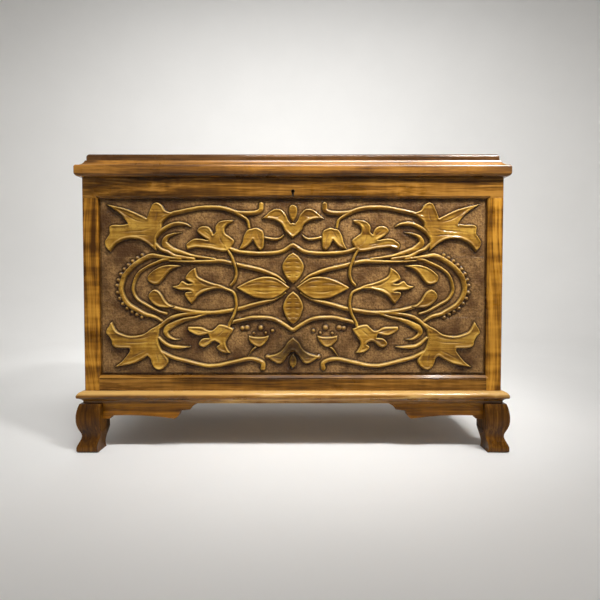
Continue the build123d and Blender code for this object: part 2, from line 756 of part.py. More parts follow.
def ogee_points():
    """The outer edge of a foot, from its head down to its toe."""
    return [
        (bulge - foot_head_setback, foot_height),
        (
            bulge - foot_head_setback * ogee_shoulder[1],
            between(foot_bulge_level, foot_height, ogee_shoulder[0]),
        ),
        (bulge, foot_bulge_level),
        (
            bulge - foot_neck_setback * ogee_flank[1],
            between(foot_bulge_level, foot_neck_level, ogee_flank[0]),
        ),
        (
            bulge - foot_neck_setback * ogee_waist[1],
            between(foot_bulge_level, foot_neck_level, ogee_waist[0]),
        ),
        (bulge - foot_neck_setback, foot_neck_level),
        (
            bulge - foot_neck_setback * ogee_ankle[1],
            between(foot_neck_level, foot_toe_level, ogee_ankle[0]),
        ),
        (
            bulge - foot_neck_setback * ogee_instep[1],
            between(foot_neck_level, foot_toe_level, ogee_instep[0]),
        ),
        (bulge - foot_toe_setback, foot_toe_level),
    ]


def foot_outline(ogee):
    """Outline of a foot from one side: ogee outer edge, or a plain upright one, and tapered inner edge."""
    with BuildSketch() as outline:
        with BuildLine():
            if ogee:
                edge = ogee_points()
                toe_x = edge[-1][0]
                sole = (toe_x - foot_sole_rounding, 0)
                Spline(*edge)
                Line(edge[-1], (toe_x, foot_sole_rounding))
                RadiusArc((toe_x, foot_sole_rounding), sole, 1.5 * foot_sole_rounding)
                Line(sole, foot_inner_sole)
                Line(foot_inner_head, edge[0])
            else:
                Polyline(foot_inner_head, (0, foot_height), (0, 0), foot_inner_sole)
            Spline(foot_inner_sole, foot_inner_toe, foot_inner_neck, foot_inner_drop)
            Line(foot_inner_drop, foot_inner_head)
        make_face()
    return outline.sketch


ogee_outline = foot_outline(True)
plain_outline = foot_outline(False)


def foot(side, at_front):
    """A solid foot: its outline from the end, crossed with its outline from the front."""
    low_y = front_y - foot_projection if at_front else back_y - foot_inset
    high_y = front_y + foot_inset if at_front else back_y
    end_start = (side * half_width, (low_y + high_y) / 2, 0)
    front_start = (side * (half_width - foot_middle), front_y if at_front else back_y, 0)
    with BuildPart() as piece:
        with BuildSketch(section_plane(end_start, (side, 0, 0))):
            add(ogee_outline)
        extrude(amount=(high_y - low_y) / 2, both=True)
        with BuildSketch(section_plane(front_start, (0, -1, 0) if at_front else (0, 1, 0))):
            add(ogee_outline if at_front else plain_outline)
        extrude(amount=foot_size / 2, both=True, mode=Mode.INTERSECT)
        add(dowel(side, dowel_y_front if at_front else dowel_y_back), mode=Mode.SUBTRACT)
    return piece


foot_front_left = foot(-1, True)
foot_front_right = foot(1, True)
foot_back_left = foot(-1, False)
foot_back_right = foot(1, False)

# ================================================================ bracket wings between feet and plinth
wing_top = foot_height
wing_foot = foot_height - wing_height


def wing_outline(flat):
    """Outline of a wing, X along the plinth from the foot, Y up from the floor."""
    toe = (wing_toe_length, wing_foot + wing_toe_rise)
    step = (wing_toe_length + wing_step_length, wing_foot + wing_arch_rise)
    crown = (step[0] + 0.4 * flat, step[1])
    cusp = (step[0] + flat, wing_foot)
    scroll = (cusp[0] + wing_scroll_length, wing_foot + wing_scroll_rise)
    quirk = (scroll[0] + wing_quirk_length, scroll[1] + wing_quirk_rise)
    tip = (quirk[0] + wing_tail_length, wing_top)
    with BuildSketch() as outline:
        with BuildLine():
            Polyline(tip, (0, wing_top), (0, wing_foot), toe)
            RadiusArc(toe, step, wing_step_radius)
            ThreePointArc(step, crown, cusp)
            RadiusArc(cusp, scroll, -wing_scroll_radius)
            Line(scroll, quirk)
            RadiusArc(quirk, tip, wing_tail_radius)
        make_face()
    return outline.sketch


def wing(start, along, inward, flat):
    """A scrolled board that runs from a foot along the underside of the plinth."""
    plane = section_plane(start, along)
    toward = 1 if plane.z_dir.dot(Vector(*inward)) > 0 else -1
    with BuildPart() as piece:
        with BuildSketch(plane):
            add(wing_outline(flat))
        extrude(amount=toward * wing_thickness)
    return piece


wing_start_x = half_width - foot_inset
wing_front_y = front_y + wing_setback
wing_side_x = half_width - wing_setback
rightward, leftward, backward, frontward = (1, 0, 0), (-1, 0, 0), (0, 1, 0), (0, -1, 0)
front_foot_y = front_y + foot_inset
back_foot_y = back_y - foot_inset

wing_front_left = wing((-wing_start_x, wing_front_y, 0), rightward, backward, front_wing_flat)
wing_front_right = wing((wing_start_x, wing_front_y, 0), leftward, backward, front_wing_flat)
wing_left_front = wing((-wing_side_x, front_foot_y, 0), backward, rightward, side_wing_flat)
wing_left_back = wing((-wing_side_x, back_foot_y, 0), frontward, rightward, side_wing_flat)
wing_right_front = wing((wing_side_x, front_foot_y, 0), backward, leftward, side_wing_flat)
wing_right_back = wing((wing_side_x, back_foot_y, 0), frontward, leftward, side_wing_flat)

# ================================================================ lid
nose_start = (lid_overhang - lid_nose_rounding, 0)
nose_front = (lid_overhang, lid_nose_rounding)
nose_crown = (lid_overhang, lid_nose_crown)
nose_top = (lid_overhang - lid_arris_setback, lid_arris_level)
shoulder_foot = (nose_top[0] - lid_arris_quirk, lid_arris_level)
shoulder_head = (-lid_top_setback + lid_shoulder_quirk, lid_rail_height)
with BuildSketch() as lid_section:
    # X outward from the carcass face, Y up from the underside of the lid.
    with BuildLine():
        Polyline(
            shoulder_head, (-lid_rail_inset, lid_rail_height), (-lid_rail_inset, 0), nose_start
        )
        TangentArc(nose_start, nose_front, tangent=(1, 0))
        Line(nose_front, nose_crown)
        TangentArc(nose_crown, nose_top, tangent=(0, 1))
        Line(nose_top, shoulder_foot)
        SagittaArc(shoulder_foot, shoulder_head, lid_shoulder_swell)
    make_face()

lid_half = half_width + lid_overhang
lid_run = carcass_depth + lid_overhang
lid_inner_half = half_width - lid_rail_inset
lid_rise = (lid_bottom, lid_rail_top)
link_plate_x = span(0, link_plate_length)
link_plate_y = span(lock_middle_y, link_plate_width)
link_plate_z = (lid_bottom, lid_bottom + link_plate_thickness)

with BuildPart() as lid_front_rail:
    add(moulding(lid_section.sketch, (lid_half, front_y, lid_bottom), front_side, 2 * lid_half))
    split(bisect_by=mitre_plane(-1, lid_overhang), keep=Keep.TOP)
    split(bisect_by=mitre_plane(1, lid_overhang), keep=Keep.TOP)
    block(link_plate_x, link_plate_y, link_plate_z, Mode.SUBTRACT)
    for head, direction in link_screws:
        add(screw_body(head, direction, link_screw_length), mode=Mode.SUBTRACT)

with BuildPart() as lid_left_rail:
    left_start = (-half_width, front_y - lid_overhang, lid_bottom)
    add(moulding(lid_section.sketch, left_start, left_side, lid_run))
    split(bisect_by=mitre_plane(-1, lid_overhang), keep=Keep.BOTTOM)

with BuildPart() as lid_right_rail:
    add(moulding(lid_section.sketch, (half_width, back_y, lid_bottom), right_side, lid_run))
    split(bisect_by=mitre_plane(1, lid_overhang), keep=Keep.BOTTOM)

with BuildPart() as lid_back_rail:
    block((-lid_inner_half, lid_inner_half), (back_y - lid_back_rail_width, back_y), lid_rise)
    for middle in hinge_middles:
        leaf_z = (lid_bottom, lid_bottom + hinge_leaf_thickness)
        block(span(middle, hinge_length), (back_y - hinge_leaf_width, back_y), leaf_z, Mode.SUBTRACT)
    for head, direction in lid_hinge_screws:
        add(screw_body(head, direction, screw_length), mode=Mode.SUBTRACT)

batten_position = half_width - batten_inset
lid_top_half = half_width - lid_top_setback
lid_top_x = (-lid_top_half, lid_top_half)
lid_top_rise = (lid_rail_top, lid_rail_top + lid_top_thickness)
lid_top_front = front_y + lid_top_setback
lid_top_joint = (lid_top_front + back_y) / 2

with BuildPart() as lid_top_front_board:
    block(lid_top_x, (lid_top_front, lid_top_joint), lid_top_rise)
    corners = lid_top_front_board.edges().filter_by(Axis.Z).group_by(Axis.Y)[0]
    fillet(corners, radius=lid_top_corner)
    shown_edges = lid_top_front_board.edges().group_by(Axis.Z)[-1].sort_by(Axis.Y)[:-1]
    fillet(shown_edges, radius=lid_top_rounding)

with BuildPart() as lid_top_back_board:
    block(lid_top_x, (lid_top_joint, back_y), lid_top_rise)
    end_edges = lid_top_back_board.edges().group_by(Axis.Z)[-1].filter_by(Axis.Y)
    fillet(end_edges, radius=lid_top_rounding)


def lid_batten(side):
    """A batten under the raised top, from the front rail to the back rail."""
    batten_x = span(side * batten_position, batten_width)
    batten_y = (front_y + lid_rail_inset, back_y - lid_back_rail_width)
    with BuildPart() as piece:
        block(batten_x, batten_y, (lid_rail_top - batten_thickness, lid_rail_top))
    return piece


lid_left_batten = lid_batten(-1)
lid_right_batten = lid_batten(1)

# ================================================================ hinges
knuckle_pitch = hinge_length / knuckle_count
along_x = (0, 90, 0)


def hinge_leaf(middle, on_lid):
    """A leaf let into its board, with every second knuckle: the outer ones are the carcass's."""
    first = 1 if on_lid else 0
    leaf_z = (lid_bottom, lid_bottom + hinge_leaf_thickness) if on_lid else (
        carcass_top - hinge_leaf_thickness, carcass_top
    )
    bore = hinge_pin_radius + (hinge_pin_clearance if on_lid else 0)
    screws = lid_hinge_screws if on_lid else carcass_hinge_screws
    with BuildPart() as piece:
        block(span(middle, hinge_length), (back_y - hinge_leaf_width, back_y), leaf_z)
        for index in range(first, knuckle_count, 2):
            knuckle_middle = middle - hinge_length / 2 + (index + 0.5) * knuckle_pitch
            knuckle_x = span(knuckle_middle, knuckle_pitch - knuckle_gap)
            block(knuckle_x, (back_y, hinge_axis_y), leaf_z)
            with Locations(Location((knuckle_middle, hinge_axis_y, hinge_axis_z), along_x)):
                Cylinder(knuckle_radius, knuckle_pitch - knuckle_gap)
        with Locations(Location((middle, hinge_axis_y, hinge_axis_z), along_x)):
            Cylinder(bore, hinge_length, mode=Mode.SUBTRACT)
        for head, direction in screws:
            if abs(head[0] - middle) < hinge_length / 2:
                add(screw_body(head, direction, screw_length), mode=Mode.SUBTRACT)
    return piece


left_hinge_carcass_leaf = hinge_leaf(-hinge_position, False)
left_hinge_lid_leaf = hinge_leaf(-hinge_position, True)
right_hinge_carcass_leaf = hinge_leaf(hinge_position, False)
right_hinge_lid_leaf = hinge_leaf(hinge_position, True)

with BuildPart() as hinge_pins:
    for middle in hinge_middles:
        with Locations(Location((middle, hinge_axis_y, hinge_axis_z), along_x)):
            Cylinder(hinge_pin_radius, hinge_length)
        for side in (-1, 1):
            head_x = middle + side * (hinge_length / 2 + hinge_pin_head / 2 - knuckle_gap / 2)
            with Locations(Location((head_x, hinge_axis_y, hinge_axis_z), along_x)):
                Cylinder(hinge_pin_head_radius, hinge_pin_head)

with BuildPart() as hinge_carcass_screws:
    for head, direction in carcass_hinge_screws:
        add(wood_screw(head, direction, screw_length))

with BuildPart() as hinge_lid_screws:
    for head, direction in lid_hinge_screws:
        add(wood_screw(head, direction, screw_length))

# ================================================================ lock
inside_half = lock_width / 2 - lock_wall
inside_rise = (lock_bottom + lock_wall, selvedge_bottom)
staple_middles = (-staple_position, staple_position)
spine_rise = (carcass_top - bolt_spine_drop, carcass_top - bolt_spine_drop + bolt_spine_height)
staple_hole_rise = (lid_bottom - staple_drop + staple_wall, lid_bottom - staple_hole_drop)
finger_middle = (staple_hole_rise[0] + staple_hole_rise[1]) / 2
finger_rise = span(finger_middle, bolt_finger_height)
bolt_y = span(lock_middle_y, bolt_thickness)
guide_level = sum(spine_rise) / 2

with BuildPart() as lock_case:
    block(span(0, lock_width), (lock_front, lock_back), (lock_bottom, selvedge_bottom))
    block((-inside_half, inside_half), (lock_inside_front, lock_back), inside_rise, Mode.SUBTRACT)
    block(selvedge_x, selvedge_y, (selvedge_bottom, carcass_top))
    for middle in staple_middles:
        slot_x = span(middle, staple_thickness + 2 * staple_clearance)
        slot_y = span(lock_middle_y, staple_width + 2 * staple_clearance)
        block(slot_x, slot_y, (selvedge_bottom, carcass_top), Mode.SUBTRACT)
    with BuildSketch(keyhole_plane.offset(front_y - lock_front)):
        add(keyhole.sketch)
    extrude(amount=-lock_wall, mode=Mode.SUBTRACT)
    for place in guide_pin_positions:
        guide_middle = (place, (lock_inside_front + lock_inside_back) / 2, guide_level)
        with Locations(Location(guide_middle, (90, 0, 0))):
            Cylinder(guide_pin_radius, lock_inside_back - lock_inside_front)
    for head, direction in selvedge_screws:
        add(screw_body(head, direction, lock_screw_length), mode=Mode.SUBTRACT)

with BuildPart() as lock_cover_plate:
    block((-inside_half, inside_half), (lock_inside_back, lock_back), inside_rise)

with BuildPart() as lock_bolt:
    finger_tips = [middle - staple_thickness / 2 - staple_to_finger for middle in staple_middles]
    spine_left = finger_tips[0] - bolt_finger_length - bolt_riser_width
    block((spine_left, finger_tips[1] - bolt_finger_length), bolt_y, spine_rise)
    for tip in finger_tips:
        riser_x = (tip - bolt_finger_length - bolt_riser_width, tip - bolt_finger_length)
        block(riser_x, bolt_y, (spine_rise[1], finger_rise[1]))
        block((riser_x[1], tip), bolt_y, finger_rise)
    for place in guide_pin_positions:
        reach = guide_pin_radius + bolt_clearance
        slot_middle = (place - bolt_throw / 2, bolt_y[0], guide_level)
        with BuildSketch(Plane(origin=slot_middle, x_dir=(1, 0, 0), z_dir=(0, -1, 0))):
            SlotCenterToCenter(bolt_throw, 2 * reach)
        extrude(amount=-bolt_thickness, mode=Mode.SUBTRACT)
    block(span(0, talon_width), bolt_y, (spine_rise[0], spine_rise[0] + talon_depth), Mode.SUBTRACT)

with BuildPart() as lock_bolt_spring:
    # A bent strip with a flat tail under the selvedge, bearing down just clear of the spine.
    spring_foot = (spring_right, spine_rise[1] + bolt_clearance)
    spring_foot_top = (spring_right, spring_foot[1] + spring_thickness)
    spring_head = (spring_left, selvedge_bottom - spring_thickness)
    spring_head_top = (spring_left, selvedge_bottom)
    sag = (
        (spring_left + spring_right) / 2 - spring_sag,
        (spring_foot[1] + selvedge_bottom) / 2 - spring_sag,
    )
    with BuildSketch(Plane.XZ.offset(-lock_middle_y - spring_width / 2)):
        with BuildLine():
            ThreePointArc(spring_head_top, (sag[0] + spring_thickness, sag[1]), spring_foot_top)
            ThreePointArc(spring_head, (sag[0], sag[1] - spring_thickness / 2), spring_foot)
            Line(spring_head_top, spring_head)
            Line(spring_foot_top, spring_foot)
        make_face()
    extrude(amount=spring_width)
    tail_x = (spring_left - spring_tail, spring_left)
    block(tail_x, span(lock_middle_y, spring_width), (spring_head[1], selvedge_bottom))

with BuildPart() as lock_screws:
    for head, direction in selvedge_screws:
        add(wood_screw(head, direction, lock_screw_length))

with BuildPart() as link_plate:
    block(link_plate_x, link_plate_y, link_plate_z)
    for middle in staple_middles:
        staple_x = span(middle, staple_thickness)
        block(staple_x, span(lock_middle_y, staple_width), (lid_bottom - staple_drop, lid_bottom))
        hole_y = span(lock_middle_y, staple_width - 2 * staple_wall)
        block(staple_x, hole_y, staple_hole_rise, Mode.SUBTRACT)
    for head, direction in link_screws:
        add(screw_body(head, direction, link_screw_length), mode=Mode.SUBTRACT)

with BuildPart() as link_plate_screws:
    for head, direction in link_screws:
        add(wood_screw(head, direction, link_screw_length))

# ================================================================ label and write every piece
pieces = {
    "front_top_rail": front_top_rail,
    "front_bottom_rail": front_bottom_rail,
    "front_left_stile": front_left_stile,
    "front_right_stile": front_right_stile,
    "keyhole_escutcheon": keyhole_escutcheon,
    "left_end_lower_board": left_end_lower_board,
    "left_end_upper_board": left_end_upper_board,
    "right_end_lower_board": right_end_lower_board,
    "right_end_upper_board": right_end_upper_board,
    "bottom_bearer_front": bottom_bearer_front,
    "bottom_bearer_back": bottom_bearer_back,
    "bottom_bearer_left": bottom_bearer_left,
    "bottom_bearer_right": bottom_bearer_right,
    "plinth_front": plinth_front,
    "plinth_left": plinth_left,
    "plinth_right": plinth_right,
    "plinth_back": plinth_back,
    "foot_front_left": foot_front_left,
    "foot_front_right": foot_front_right,
    "foot_back_left": foot_back_left,
    "foot_back_right": foot_back_right,
    "foot_dowels": foot_dowels,
    "wing_front_left": wing_front_left,
    "wing_front_right": wing_front_right,
    "wing_left_front": wing_left_front,
    "wing_left_back": wing_left_back,
    "wing_right_front": wing_right_front,
    "wing_right_back": wing_right_back,
    "lid_front_rail": lid_front_rail,
    "lid_left_rail": lid_left_rail,
    "lid_right_rail": lid_right_rail,
    "lid_back_rail": lid_back_rail,
    "lid_top_front_board": lid_top_front_board,
    "lid_top_back_board": lid_top_back_board,
    "lid_left_batten": lid_left_batten,
    "lid_right_batten": lid_right_batten,
    "left_hinge_carcass_leaf": left_hinge_carcass_leaf,
    "left_hinge_lid_leaf": left_hinge_lid_leaf,
    "right_hinge_carcass_leaf": right_hinge_carcass_leaf,
    "right_hinge_lid_leaf": right_hinge_lid_leaf,
    "hinge_pins": hinge_pins,
    "hinge_carcass_screws": hinge_carcass_screws,
    "hinge_lid_screws": hinge_lid_screws,
    "lock_case": lock_case,
    "lock_cover_plate": lock_cover_plate,
    "lock_bolt": lock_bolt,
    "lock_bolt_spring": lock_bolt_spring,
    "lock_screws": lock_screws,
    "link_plate": link_plate,
    "link_plate_screws": link_plate_screws,
}
for name, boards in (
    ("carved_panel_board", panel_boards),
    ("back_board", back_boards),
    ("bottom_board", bottom_boards),
):
    for number, board in enumerate(boards, start=1):
        pieces[f"{name}_{number}"] = board

os.makedirs("parts", exist_ok=True)
for name, piece in pieces.items():
    piece.part.label = name
    export_step(piece.part, f"parts/{name}.step")
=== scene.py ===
"""Looks of a carved blanket chest: polished woods, old brass and a carved front.

The chest's solids are the frame. This file dresses them and puts a carved relief on the panel boards.
Lengths in the relief's classes are millimetres, and places on the panel are counted from its middle.
Every other length is in metres.
"""

from __future__ import annotations

import json
import logging
import math
from dataclasses import dataclass, field
from enum import Enum

import bpy
import numpy as np
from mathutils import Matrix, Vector

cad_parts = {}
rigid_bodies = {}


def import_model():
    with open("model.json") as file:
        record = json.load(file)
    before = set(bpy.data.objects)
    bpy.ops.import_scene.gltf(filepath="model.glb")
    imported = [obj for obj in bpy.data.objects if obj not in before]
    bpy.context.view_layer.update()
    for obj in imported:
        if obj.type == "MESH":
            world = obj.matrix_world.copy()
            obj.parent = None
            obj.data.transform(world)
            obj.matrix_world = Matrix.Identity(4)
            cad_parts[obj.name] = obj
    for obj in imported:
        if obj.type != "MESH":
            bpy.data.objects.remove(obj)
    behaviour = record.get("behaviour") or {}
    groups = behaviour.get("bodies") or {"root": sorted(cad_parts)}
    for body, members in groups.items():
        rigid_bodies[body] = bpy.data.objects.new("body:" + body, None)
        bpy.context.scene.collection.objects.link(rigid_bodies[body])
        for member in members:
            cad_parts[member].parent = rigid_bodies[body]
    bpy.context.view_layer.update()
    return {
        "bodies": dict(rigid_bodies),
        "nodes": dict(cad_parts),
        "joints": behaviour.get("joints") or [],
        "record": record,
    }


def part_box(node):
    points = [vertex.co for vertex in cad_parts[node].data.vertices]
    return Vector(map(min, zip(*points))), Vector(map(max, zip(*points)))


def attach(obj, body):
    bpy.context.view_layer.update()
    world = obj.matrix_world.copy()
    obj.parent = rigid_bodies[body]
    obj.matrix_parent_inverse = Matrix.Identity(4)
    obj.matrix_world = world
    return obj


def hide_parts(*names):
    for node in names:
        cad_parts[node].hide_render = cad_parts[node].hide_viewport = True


LOG = logging.getLogger("chest")
MM = 0.001

Colour = tuple[float, float, float]
Place = tuple[float, float, float]
Socket = bpy.types.NodeSocket
Node = bpy.types.Node


class Grain(Enum):
    """The way a board's grain runs, as the order its axes are read in: along, across, through."""

    ALONG_FRONT = "XYZ"
    FRONT_TO_BACK = "YXZ"
    UPRIGHT = "ZXY"


class Join(Enum):
    """How a carved motif meets what was carved before it."""

    OVER = "over"
    INTO = "into"


# ---------------------------------------------------------------------------------------- node trees
EDGE_SAMPLES = 6
WORN_TURN = (0.995, 0.85)     # cosine of the rounded normal to the true one, where wear starts and is full
TIGHT_CORNER = (0.75, 0.2)    # open share of a place, where soiling and painted shade start and are full
NOISE_MIDDLE = 0.5            # what noise from 0 to 1 is on average


@dataclass(frozen=True)
class Streaks:
    """Noise drawn out along the grain.

    Attributes:
        along: Features to the metre along the grain.
        across: Features to the metre across it.
        detail: Octaves.
        rough: How strong the finer octaves are.
    """

    along: float
    across: float
    detail: float = 2.0
    rough: float = 0.55


@dataclass(frozen=True)
class Clouds:
    """Noise that runs no way more than another, spread out to go from 0 to 1.

    Attributes:
        scale: Features to the metre.
        detail: Octaves.
        low: Noise that becomes 0.
        high: Noise that becomes 1.
        rough: How strong the finer octaves are.
    """

    scale: float
    detail: float
    low: float
    high: float
    rough: float = 0.55


class Graph:
    """The node tree of one finish."""

    def __init__(self, name: str) -> None:
        """Start a material with its shader.

        Args:
            name: The material's name.
        """
        self.material = bpy.data.materials.new(name)
        self.material.use_nodes = True
        self.tree = self.material.node_tree
        self.shader = self.tree.nodes["Principled BSDF"]

    def add(self, kind: str, inputs: dict | None = None, **settings: object) -> Node:
        """Add a node.

        Args:
            kind: The node's type.
            inputs: Input name or number to a value or to the socket that feeds it.
            settings: Properties of the node.

        Returns:
            The node.
        """
        node = self.tree.nodes.new(kind)
        for key, value in settings.items():
            setattr(node, key, value)
        for key, value in (inputs or {}).items():
            self.feed(node.inputs[key], value)
        return node

    def feed(self, socket: Socket, value: object) -> None:
        """Link a socket to another, or set its value.

        Args:
            socket: The input.
            value: A socket to link, or a plain value.
        """
        if isinstance(value, bpy.types.NodeSocket):
            self.tree.links.new(value, socket)
        else:
            socket.default_value = value

    def arithmetic(self, operation: str, first: object, second: object) -> Socket:
        """Reckon with two numbers.

        Args:
            operation: The math node's operation.
            first: A number or socket.
            second: A number or socket.

        Returns:
            The result.
        """
        return self.add("ShaderNodeMath", {0: first, 1: second}, operation=operation).outputs[0]

    def product(self, first: object, second: object) -> Socket:
        """Two numbers multiplied."""
        return self.arithmetic("MULTIPLY", first, second)

    def total(self, first: object, second: object) -> Socket:
        """Two numbers added."""
        return self.arithmetic("ADD", first, second)

    def less(self, first: object, second: object) -> Socket:
        """The first number less the second."""
        return self.arithmetic("SUBTRACT", first, second)

    def fit(
        self, value: Socket, low: float, high: float, to_low: float = 0.0, to_high: float = 1.0
    ) -> Socket:
        """Stretch a number from one range to another, smoothly and with its ends held.

        Args:
            value: The number.
            low: Value that becomes to_low.
            high: Value that becomes to_high.
            to_low: Low end of the result.
            to_high: High end of the result.

        Returns:
            The result.
        """
        inputs = {0: value, 1: low, 2: high, 3: to_low, 4: to_high}
        return self.add("ShaderNodeMapRange", inputs, interpolation_type="SMOOTHSTEP").outputs[0]

    def noise(self, place: Socket, scale: float, detail: float, rough: float) -> Socket:
        """Soft noise from 0 to 1.

        Args:
            place: The coordinates.
            scale: Features to the metre.
            detail: Octaves.
            rough: How strong the finer octaves are.

        Returns:
            The noise.
        """
        inputs = {"Vector": place, "Scale": scale, "Detail": detail, "Roughness": rough}
        return self.add("ShaderNodeTexNoise", inputs).outputs[0]

    def streaks(self, place: Socket, streaks: Streaks, finer: float = 1.0) -> Socket:
        """Noise that is drawn out along the grain.

        Args:
            place: Coordinates whose X runs along the grain.
            streaks: Its scale and octaves.
            finer: How many times finer it is across the grain.

        Returns:
            The noise, from 0 to 1.
        """
        across = streaks.across * finer
        inputs = {0: place, 1: (streaks.along, across, across)}
        drawn_out = self.add("ShaderNodeVectorMath", inputs, operation="MULTIPLY").outputs[0]
        return self.noise(drawn_out, 1.0, streaks.detail, streaks.rough)

    def clouds(
        self, place: Socket, clouds: Clouds, to_low: float = 0.0, to_high: float = 1.0
    ) -> Socket:
        """Noise that runs no way more than another.

        Args:
            place: The coordinates.
            clouds: Its scale, octaves and spread.
            to_low: Low end of the result.
            to_high: High end of the result.

        Returns:
            The noise, from to_low to to_high.
        """
        noise = self.noise(place, clouds.scale, clouds.detail, clouds.rough)
        return self.fit(noise, clouds.low, clouds.high, to_low, to_high)

    def mix(self, share: object, first: object, second: object, blend: str = "MIX") -> Socket:
        """Blend two colours.

        Args:
            share: How much of the second, 0 to 1.
            first: A colour or socket.
            second: A colour or socket.
            blend: The blend's name.

        Returns:
            The blended colour.
        """
        paints = [(*paint, 1.0) if isinstance(paint, tuple) else paint for paint in (first, second)]
        inputs = {0: share, 6: paints[0], 7: paints[1]}
        return self.add("ShaderNodeMix", inputs, data_type="RGBA", blend_type=blend).outputs[2]

    def tint(self, colour: Socket, glaze: Colour) -> Socket:
        """A colour seen through a glaze of another."""
        return self.mix(1.0, colour, glaze, "MULTIPLY")

    def ramp(self, value: Socket, stops: list[tuple[float, Colour]]) -> Socket:
        """Colours laid along a number.

        Args:
            value: The number.
            stops: Places from 0 to 1, each with its colour.

        Returns:
            The colour.
        """
        node = self.add("ShaderNodeValToRGB", {0: value})
        elements = node.color_ramp.elements
        while len(elements) < len(stops):
            elements.new(1.0)
        for element, (place, colour) in zip(elements, stops):
            element.position = place
            element.color = (*colour, 1.0)
        return node.outputs[0]

    def read(self, name: str) -> Socket:
        """A number kept on the mesh's points, by name."""
        return self.add("ShaderNodeAttribute", attribute_name=name).outputs["Fac"]

    def board_value(self, name: str, output: str) -> Socket:
        """A value kept on the board as a whole.

        Args:
            name: The value's name.
            output: Which output of the node gives it, such as Fac or Vector.

        Returns:
            The value.
        """
        node = self.add("ShaderNodeAttribute", attribute_type="OBJECT", attribute_name=name)
        return node.outputs[output]

    def board_place(self, grain: Grain) -> Socket:
        """Coordinates of a board: X along its grain, moved by the board's own shift.

        Args:
            grain: The way the grain runs.

        Returns:
            The coordinates, in metres.
        """
        place = self.add("ShaderNodeTexCoord").outputs["Object"]
        axes = self.add("ShaderNodeSeparateXYZ", {0: place})
        order = [axes.outputs["XYZ".index(letter)] for letter in grain.value]
        turned = self.add("ShaderNodeCombineXYZ", dict(enumerate(order))).outputs[0]
        inputs = {0: turned, 1: self.board_value("grain_shift", "Vector")}
        return self.add("ShaderNodeVectorMath", inputs, operation="ADD").outputs[0]

    def facing(self) -> Socket:
        """The direction the surface faces."""
        return self.add("ShaderNodeNewGeometry").outputs["Normal"]

    def upward(self) -> Socket:
        """How far the surface faces up, from -1 to 1."""
        return self.add("ShaderNodeSeparateXYZ", {0: self.facing()}).outputs[2]

    def rounded(self, radius: float) -> Socket:
        """The surface's direction with its arrises rounded.

        Args:
            radius: Rounding in metres.

        Returns:
            The rounded normal.
        """
        return self.add("ShaderNodeBevel", {"Radius": radius}, samples=EDGE_SAMPLES).outputs[0]

    def worn(self, rounded: Socket) -> Socket:
        """Where an arris wears, from 0 on the flat to 1 on the edge.

        Args:
            rounded: The rounded normal.

        Returns:
            The mask.
        """
        inputs = {0: rounded, 1: self.facing()}
        turn = self.add("ShaderNodeVectorMath", inputs, operation="DOT_PRODUCT").outputs["Value"]
        return self.fit(turn, *WORN_TURN)

    def dirt_and_corner_shade(self, distance: float) -> Socket:
        """Where tight corners darken, from 0 in the open to 1 in a tight corner: soiling and old polish,
        with painted shade from ambient occlusion.

        Args:
            distance: How far the corner reaches, in metres.

        Returns:
            The mask.
        """
        inputs = {"Distance": distance}
        open_share = self.add("ShaderNodeAmbientOcclusion", inputs, samples=EDGE_SAMPLES).outputs["AO"]
        return self.fit(open_share, *TIGHT_CORNER)


# ------------------------------------------------------------------------------------------ finishes
UPPER_FACE = (0.15, 0.7)      # how far a face looks up, where the painted highlight on upper faces starts and is full
UNDER_FACE = (-0.1, -0.6)     # how far a face looks up, where the painted shade under it starts and is full

DRIFT = Streaks(1.4, 5.0)
BANDS = Streaks(2.2, 44.0, 4.0, 0.62)
LINES = Streaks(7.0, 230.0, 3.0, 0.6)
RIPPLE = Streaks(40.0, 7.0, 2.0, 0.6)
PORES = Streaks(38.0, 1500.0, 2.0, 0.5)
FIBRES = Streaks(30.0, 900.0, 3.0)
WAVES = Streaks(3.0, 26.0)
SCRATCHES = Streaks(60.0, 2200.0)

BLOTCHES = Clouds(5.0, 2.0, 0.3, 0.72)
RUB_MARKS = Clouds(60.0, 3.0, 0.35, 0.65)
SHEEN = Clouds(9.0, 4.0, 0.3, 0.7, 0.6)
EARTH = Clouds(22.0, 4.0, 0.3, 0.7)
SPECKS = Clouds(210.0, 3.0, 0.42, 0.64, 0.6)
GRIT = Clouds(140.0, 4.0, 0.5, 0.7, 0.7)
PATCH_MOTTLE = Clouds(45.0, 3.0, 0.25, 0.6)
TARNISH = Clouds(260.0, 4.0, 0.38, 0.66, 0.6)
PAINT_PATCHES = Clouds(3.0, 2.0, 0.3, 0.7)

DRIFT_REACH = 0.09            # how far the streaks wander sideways, in metres
BAND_SHARE = 0.66             # share of the figure that is broad bands; the rest is fine lines
BLOTCH_SHADE = 0.6
PORE_LEVELS = (0.62, 0.74)    # noise at which a pore starts and is full
PORE_SHADE = 0.6
COAT_IOR = 1.5
# Colour of soiling with painted shade in the tight corners of wood
WOOD_DIRT_AND_SHADE: Colour = (0.28, 0.2, 0.14)
DEEPER_BOARD: Colour = (0.62, 0.56, 0.5)
# Colour of soiling with painted shade in the tight corners of metal
METAL_DIRT_AND_SHADE: Colour = (0.03, 0.02, 0.01)


